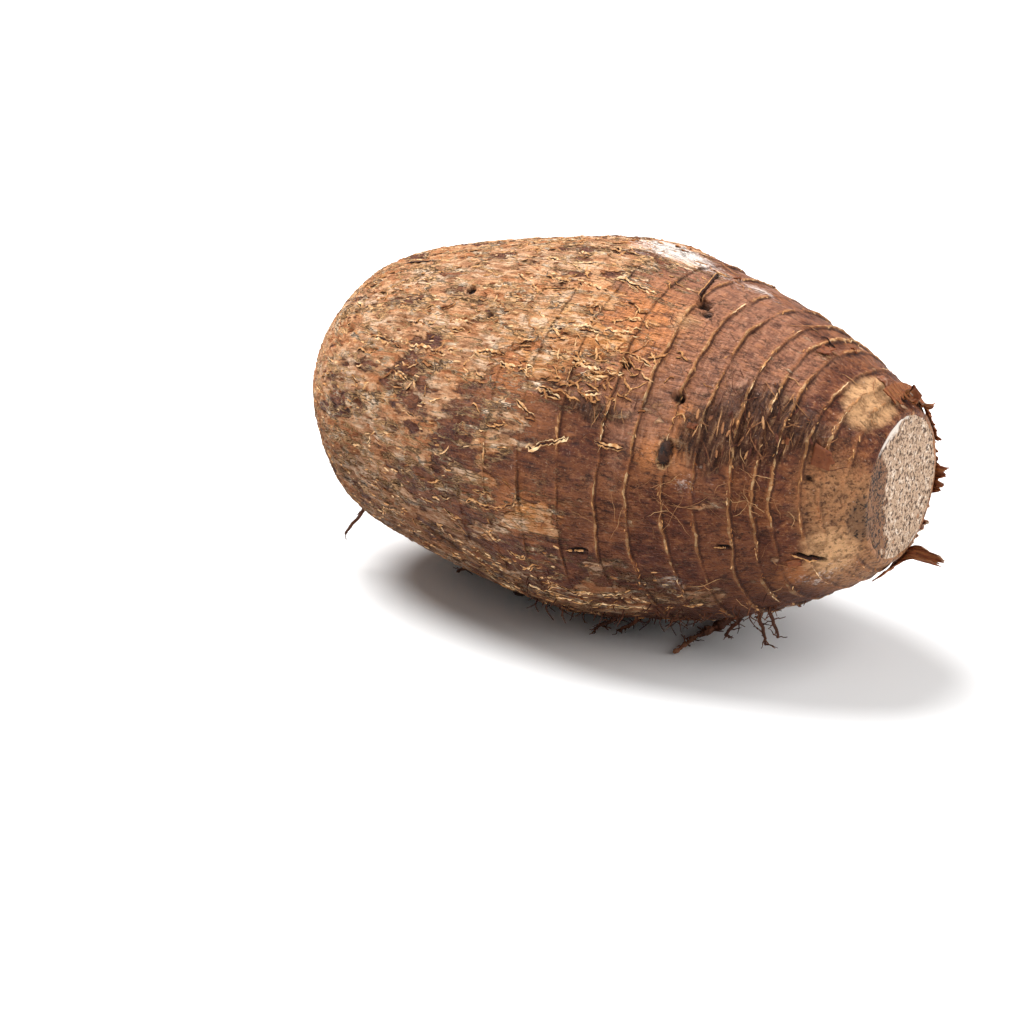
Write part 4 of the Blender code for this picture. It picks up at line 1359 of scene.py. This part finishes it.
def scale_flake(cage, draw, place, size, lift, tone, layers):
    """Adds one torn scale: it lies on the skin at its root side and lifts towards its free edge."""
    along, degrees = place
    ragged = [draw.uniform(0.75, 1.1) for _ in range(7)]
    slant, curl = draw.uniform(-0.35, 0.35), draw.uniform(-0.5, 0.5)
    grid = []
    for i in range(9):
        share = i / 8
        row = []
        for j in range(7):
            side = (j / 6 - 0.5) * (1.0 - 0.3 * abs(curl) * share)
            reach = size[0] * share * ragged[j]
            creased = 0.35 * noise.noise(Vector((along + 3.1 * side, degrees, 5.0 * share)))
            above = 0.12 + lift * share**1.6 + curl * side * share + creased
            round_off = math.degrees((side + slant * share) * size[1] / float(outline_radius(along)))
            point = cage.verts.new(skin_point(along + reach, degrees + round_off, above))
            point[layers[0]] = min(1.0, tone + 0.35 * max(0.0, share - 0.8) / 0.2 * draw.uniform(0.3, 1.0))
            point[layers[1]] = 0.3 + 0.2 * math.sin(j * 2.1 + 5.0 * share)
            row.append(point)
        grid.append(row)
    grid_faces(cage, grid)


def sheath_object(settings):
    """The torn sheath round the crown."""
    cage = bmesh.new()
    layers = cage.verts.layers.float.new("tone"), cage.verts.layers.float.new("vein")
    sheath_layer(cage, COLLAR_SPAN, 30, 0.25, settings.crinkle / MM, layers)
    return walled("sheath", cage, settings)


def scales_object(settings):
    """The loose scales of old sheath, large ones in their places and small ones on the scars."""
    cage = bmesh.new()
    layers = cage.verts.layers.float.new("tone"), cage.verts.layers.float.new("vein")
    draw = random.Random(31)
    for along, degrees, length, width, lift, tone in SCALES:
        scale_flake(cage, draw, (along, degrees), (length, width), lift, tone, layers)
    for _ in range(14):
        scar = draw.choice(SCARS[12:-1])
        place = (scar - draw.uniform(0.0, 1.2), draw.uniform(0.0, 360.0))
        size = (draw.uniform(1.0, 2.2), draw.uniform(1.0, 2.6))
        scale_flake(cage, draw, place, size, draw.uniform(0.2, 0.6), draw.uniform(0.0, 0.3), layers)
    return walled("loose_scales", cage, settings)


def walled(name, cage, settings):
    """The cage's thin faces as an object with the sheath's papery wall."""
    mesh = bpy.data.meshes.new(name)
    cage.to_mesh(mesh)
    cage.free()
    sheath = linked(name, mesh)
    solidify = sheath.modifiers.new("papery_wall", "SOLIDIFY")
    solidify.thickness = settings.wall
    solidify.offset = 0.0
    mesh.materials.append(sheath_material(settings))
    plain(sheath, solidify)
    sheath.data.shade_smooth()
    return sheath


# Dried roots, as in the solid: the long one's points are mm from the corm's middle on the floor
LONG_ROOT = (
    (50.0, 13.0, 15.0), (49.0, 10.0, 7.0), (46.5, 5.0, 2.6), (44.4, -5.0, 1.4), (43.2, -15.0, 1.3),
    (43.6, -28.0, 1.1),
)
# The short ones: along, degrees round, length, lean along, droop
SHORT_ROOTS = (
    (167.0, 160.0, 7.0, 3.0, 2.0), (173.0, 151.0, 5.5, 4.0, 3.0), (158.0, 165.0, 5.5, -4.0, 2.0),
    (128.0, 157.0, 5.0, -5.0, 2.0), (122.0, 154.0, 4.5, -6.0, 2.0), (134.0, 203.0, 4.5, 5.0, 2.0),
    (60.0, 168.0, 5.0, -5.0, 2.0), (42.0, 190.0, 6.0, -4.0, 2.0), (27.0, 146.0, 6.0, -5.0, 4.0),
    (19.0, 228.0, 5.5, -5.0, 4.0),
)


def smooth_line(corners, count):
    """Evenly numbered points of a smooth line through the corners."""
    corners = np.array(corners, float)
    padded = np.vstack([2 * corners[0] - corners[1], corners, 2 * corners[-1] - corners[-2]])
    marks = np.linspace(0, len(corners) - 1 - 1e-9, count)
    span, part = marks.astype(int), (marks % 1.0)[:, None]
    a, b, c, d = (padded[span + i] for i in range(4))
    square = (2 * a - 5 * b + 4 * c - d) * part**2
    cube = (3 * b - a - 3 * c + d) * part**3
    return 0.5 * (2 * b + (c - a) * part + square + cube)


def side_root(draw, start, aim, reach, count, thick):
    """The points and thicknesses of a thin root that leaves the start, kept off the floor."""
    steps = np.linspace(0.0, reach, count)[:, None]
    line = start + aim / np.linalg.norm(aim) * steps + jolts(draw, 0.15, count)
    line[:, 2] = np.maximum(line[:, 2], 0.3)
    return line * MM, np.linspace(thick, 0.1, count) * MM


def foot_and_out(along, degrees, depth):
    """A place under the skin in millimetres, and the way out of it."""
    out = skin_point(along, degrees, 1.0) / MM - skin_point(along, degrees) / MM
    return skin_point(along, degrees, -depth) / MM, out


def root_strands():
    """The long root with its knots and side roots, the short roots and their hairs, in metres."""
    draw = random.Random(23)
    strands = []
    line = smooth_line(LONG_ROOT, 90) + np.array((*MIDDLE, 0.0))
    share = np.linspace(0.0, 1.0, len(line))
    line += jolts(draw, 0.16, len(line))
    widths = 0.85 * (1.0 - 0.45 * share) + 0.35 * np.sin(share * 40.0) ** 4
    for knot, size in ((0.40, 1.3), (0.56, 1.1), (0.68, 0.8)):
        widths += size * np.exp(-(((share - knot) / 0.035) ** 2))
    strands.append((line * MM, widths * MM, 0.25 + 0.45 * share**3 + 0.1 * np.sin(share * 31)))
    for _ in range(70):
        start = line[draw.randrange(14, len(line) - 4)]
        aim = np.array((draw.gauss(0.0, 1.0), draw.gauss(0.0, 1.0), draw.gauss(0.15, 0.4)))
        side = side_root(draw, start, aim, draw.uniform(1.5, 5.0), 7, 0.28)
        strands.append((*side, draw.uniform(0.1, 0.6)))
    for along, degrees, length, lean, droop in SHORT_ROOTS:
        foot, out = foot_and_out(along, degrees, 1.5)
        tip = foot + out * (length + 1.5) + np.array((lean, 0.0, -droop))
        tip[2] = max(tip[2], 0.9)
        bent = smooth_line([foot, foot + out * 0.55 * length, foot + 0.85 * (tip - foot), tip], 16)
        bent += jolts(draw, 0.14, len(bent))
        bent[:, 2] = np.maximum(bent[:, 2], 0.6)
        strands.append((bent * MM, np.linspace(0.75, 0.35, 16) * MM, draw.uniform(0.15, 0.4)))
        for _ in range(4 if along < 100.0 else 10):
            start = bent[draw.randrange(3, 15)]
            aim = np.array((draw.gauss(0.0, 1.0), draw.gauss(0.0, 0.6), draw.gauss(-0.3, 0.5)))
            side = side_root(draw, start, aim, draw.uniform(1.5, 4.5), 6, 0.24)
            strands.append((*side, draw.uniform(0.05, 0.5)))
    for _ in range(170):
        along, degrees = draw.uniform(96.0, 182.0), draw.choice((1, 1, -1)) * draw.gauss(150.0, 9.0)
        foot, out = foot_and_out(along, degrees, 0.4)
        reach = draw.uniform(1.0, 4.0)
        tip = foot + out * reach + np.array((draw.gauss(0.0, 2.0), draw.gauss(0.0, 1.0), -0.3 * reach))
        bent = smooth_line([foot, foot + out * 0.6 * reach, tip], 8)
        bent[:, 2] = np.maximum(bent[:, 2], 0.25)
        strands.append((bent * MM, np.linspace(0.26, 0.1, 8) * MM, draw.uniform(0.05, 0.55)))
    return strands


# Operators


# The studio: the floor's side in metres, and the camera in millimetres
FLOOR_SIDE = 8.0
LENS, SENSOR = 100.0, 36.0
LOOKS_AT = (-38.5, 0.2, 20.3)
# How wide each light is in degrees, and where it shines
KEY_LIGHT = (38.0, (0.5, -0.14, -0.86))
SECOND_LIGHT = (60.0, (-0.74, -0.2, -0.64))


class TARO_OT_stage(bpy.types.Operator):
    """Sets the pale floor, the room's light, the key light and the camera"""

    bl_idname = "taro.stage"
    bl_label = "Studio"

    def execute(self, context):
        settings = context.scene.taro_studio
        bpy.ops.mesh.primitive_plane_add(size=FLOOR_SIDE, location=(0.0, 0.0, 0.0))
        floor = context.object
        floor.name = "floor"
        # White paper: no gloss, so that only the soft shadow shows on it
        material, _, shader = blank_material("matt_white_paper")
        shader.inputs["Base Color"].default_value = linear("#efefef")
        shader.inputs["Roughness"].default_value = 1.0
        shader.inputs["Specular IOR Level"].default_value = 0.0
        floor.data.materials.append(material)
        for name, strength, (spread, aim) in (
            ("key", settings.key, KEY_LIGHT), ("second", settings.second, SECOND_LIGHT),
        ):
            light = bpy.data.objects.new(name, bpy.data.lights.new(name, "SUN"))
            context.scene.collection.objects.link(light)
            light.data.energy = strength
            light.data.angle = math.radians(spread)
            light.rotation_mode = "QUATERNION"
            light.rotation_quaternion = Vector(aim).to_track_quat("-Z", "Y")
        world = bpy.data.worlds.new("room")
        world.use_nodes = True
        background = world.node_tree.nodes["Background"]
        background.inputs["Color"].default_value = (1.0, 1.0, 1.0, 1.0)
        background.inputs["Strength"].default_value = settings.fill
        context.scene.world = world
        context.scene.view_settings.view_transform = "Standard"
        camera = bpy.data.objects.new("camera", bpy.data.cameras.new("camera"))
        context.scene.collection.objects.link(camera)
        camera.data.lens, camera.data.sensor_width = LENS, SENSOR
        a, e = settings.azimuth, settings.elevation
        back = Vector((math.sin(a) * math.cos(e), -math.cos(a) * math.cos(e), math.sin(e)))
        camera.location = Vector(LOOKS_AT) * MM + back * settings.distance
        camera.rotation_mode = "QUATERNION"
        camera.rotation_quaternion = (-back).to_track_quat("-Z", "Y")
        camera.data.clip_start, camera.data.clip_end = 0.01, 20.0
        context.scene.camera = camera
        return {"FINISHED"}


class TARO_OT_skin(bpy.types.Operator):
    """Grows the corm's ringed skin, with its eyes, pits and slits, and its relief"""

    bl_idname = "taro.skin"
    bl_label = "Skin"

    def execute(self, context):
        settings = context.scene.taro_skin
        rows, places, marks = skin_shape(settings.scar_height / MM)
        meeting = int(np.argmax(rows[:, 0] > MEETING_SCAR + 0.5))
        material, tree = periderm(settings), relief_tree()
        for name, lengths, closed in (
            ("skin_root_end", slice(0, meeting + 1), (True, False)),
            ("skin_crown_end", slice(meeting, None), (False, True)),
        ):
            kept = {label: value[lengths] for label, value in marks.items()}
            skin = linked(name, grid_mesh(name, places[lengths], kept, closed))
            grown(skin, tree, {
                "Crust height": settings.crust_height, "Crust length": settings.crust_length,
                "Crust width": settings.crust_width, "Stria depth": settings.stria_depth,
                "Fibre depth": settings.fibre_depth, "Material": material,
            })
            settle(skin, "bark_skin", "corm")
        return {"FINISHED"}


class TARO_OT_cork(bpy.types.Operator):
    """Raises the cork lips beside the splits, the cords on the leaf scars and the chips of crust"""

    bl_idname = "taro.cork"
    bl_label = "Cork"

    def execute(self, context):
        settings = context.scene.taro_cork
        cork = cork_material()
        lips = strand_object("cork_lips", cork_strands(settings), strand_tree(), {
            "Sides": 5, "Roughness": 0.3 * MM, "Lump length": 1.1 * MM, "Smooth": False, "Material": cork,
        })
        settle(lips, "bark_skin")
        tree = chip_tree()
        crust = ("cork", 0.0, settings.chips, settings.chip_length, 0.85, cork)
        shred = ("fibre", 1.0, settings.shreds, settings.shred_length, 0.8, fibre_material())
        crumb = ("crest", 1.0, settings.crumbs, settings.crumb_length, 0.75, cork)
        for name, end, darkest, seed, kind in (
            ("chips_root_end", "root_end", 0.2, 0, crust), ("chips_crown_end", "crown_end", 0.2, 0, crust),
            ("shreds", "crown_end", 0.2, 1, shred), ("ring_crumbs", "crown_end", 0.3, 2, crumb),
        ):
            zone, turned, density, length, palest, material = kind
            chips = linked(name, bpy.data.objects["skin_" + end].data.copy())
            grown(chips, tree, {
                "Zone": zone, "Round": turned, "Density": density * SQUARE_CENTIMETRES, "Chip length": length,
                "Darkest": darkest, "Palest": palest, "Seed": settings.seed + seed, "Material": material,
            })
            settle(chips, "bark_skin")
        return {"FINISHED"}


class TARO_OT_fibres(bpy.types.Operator):
    """Lays the matted fibres and loose root hairs on the skin"""

    bl_idname = "taro.fibres"
    bl_label = "Fibres"

    def execute(self, context):
        strands = fibre_strands(context.scene.taro_fibres)
        hairs = strand_object("root_hairs", strands, bpy.data.node_groups["rough_strands"], {
            "Sides": 4, "Roughness": 0.06 * MM, "Lump length": 1.0 * MM, "Smooth": True,
            "Material": fibre_material(),
        })
        settle(hairs, "bark_skin")
        return {"FINISHED"}


class TARO_OT_crown(bpy.types.Operator):
    """Makes the cut face of the crown"""

    bl_idname = "taro.crown"
    bl_label = "Cut crown"

    def execute(self, context):
        settle(crown_disc(context.scene.taro_crown), "bark_skin")
        return {"FINISHED"}


class TARO_OT_sheath(bpy.types.Operator):
    """Makes the torn, crinkled leaf sheath round the crown"""

    bl_idname = "taro.sheath"
    bl_label = "Sheath"

    def execute(self, context):
        settings = context.scene.taro_crown
        settle(sheath_object(settings), "dry_sheath", "sheath_collar")
        settle(scales_object(settings), "dry_sheath")
        return {"FINISHED"}


class TARO_OT_roots(bpy.types.Operator):
    """Makes the dried roots under the belly"""

    bl_idname = "taro.roots"
    bl_label = "Dried roots"

    def execute(self, context):
        roots = strand_object("dried_roots", root_strands(), bpy.data.node_groups["rough_strands"], {
            "Sides": 7, "Roughness": 0.18 * MM, "Lump length": 1.1 * MM, "Smooth": True,
            "Material": dried_root_material(),
        })
        settle(roots, "bark_skin")
        return {"FINISHED"}


SETTINGS = {
    "taro_skin": TaroSkinSettings, "taro_cork": TaroCorkSettings, "taro_fibres": TaroFibreSettings,
    "taro_crown": TaroCrownSettings, "taro_studio": TaroStudioSettings,
}
OPERATORS = (
    TARO_OT_stage, TARO_OT_skin, TARO_OT_cork, TARO_OT_fibres, TARO_OT_crown, TARO_OT_sheath, TARO_OT_roots,
)


class TARO_PT_panel(bpy.types.Panel):
    """Lists the steps that build the corm"""

    bl_label = "Taro corm"
    bl_idname = "TARO_PT_panel"
    bl_space_type = "VIEW_3D"
    bl_region_type = "UI"
    bl_category = "Taro"

    def draw(self, context):
        for step in OPERATORS:
            self.layout.operator(step.bl_idname)
        for name in SETTINGS:
            box = self.layout.box()
            group = getattr(context.scene, name)
            for label in group.__annotations__:
                box.prop(group, label)


def register():
    for name, group in SETTINGS.items():
        bpy.utils.register_class(group)
        setattr(bpy.types.Scene, name, bpy.props.PointerProperty(type=group))
    for kind in (*OPERATORS, TARO_PT_panel):
        bpy.utils.register_class(kind)


def unregister():
    for kind in reversed((*OPERATORS, TARO_PT_panel)):
        bpy.utils.unregister_class(kind)
    for name, group in SETTINGS.items():
        delattr(bpy.types.Scene, name)
        bpy.utils.unregister_class(group)


def main():
    register()
    for step in ("stage", "skin", "cork", "fibres", "crown", "sheath", "roots"):
        getattr(bpy.ops.taro, step)()


if __name__ == "__main__":
    main()
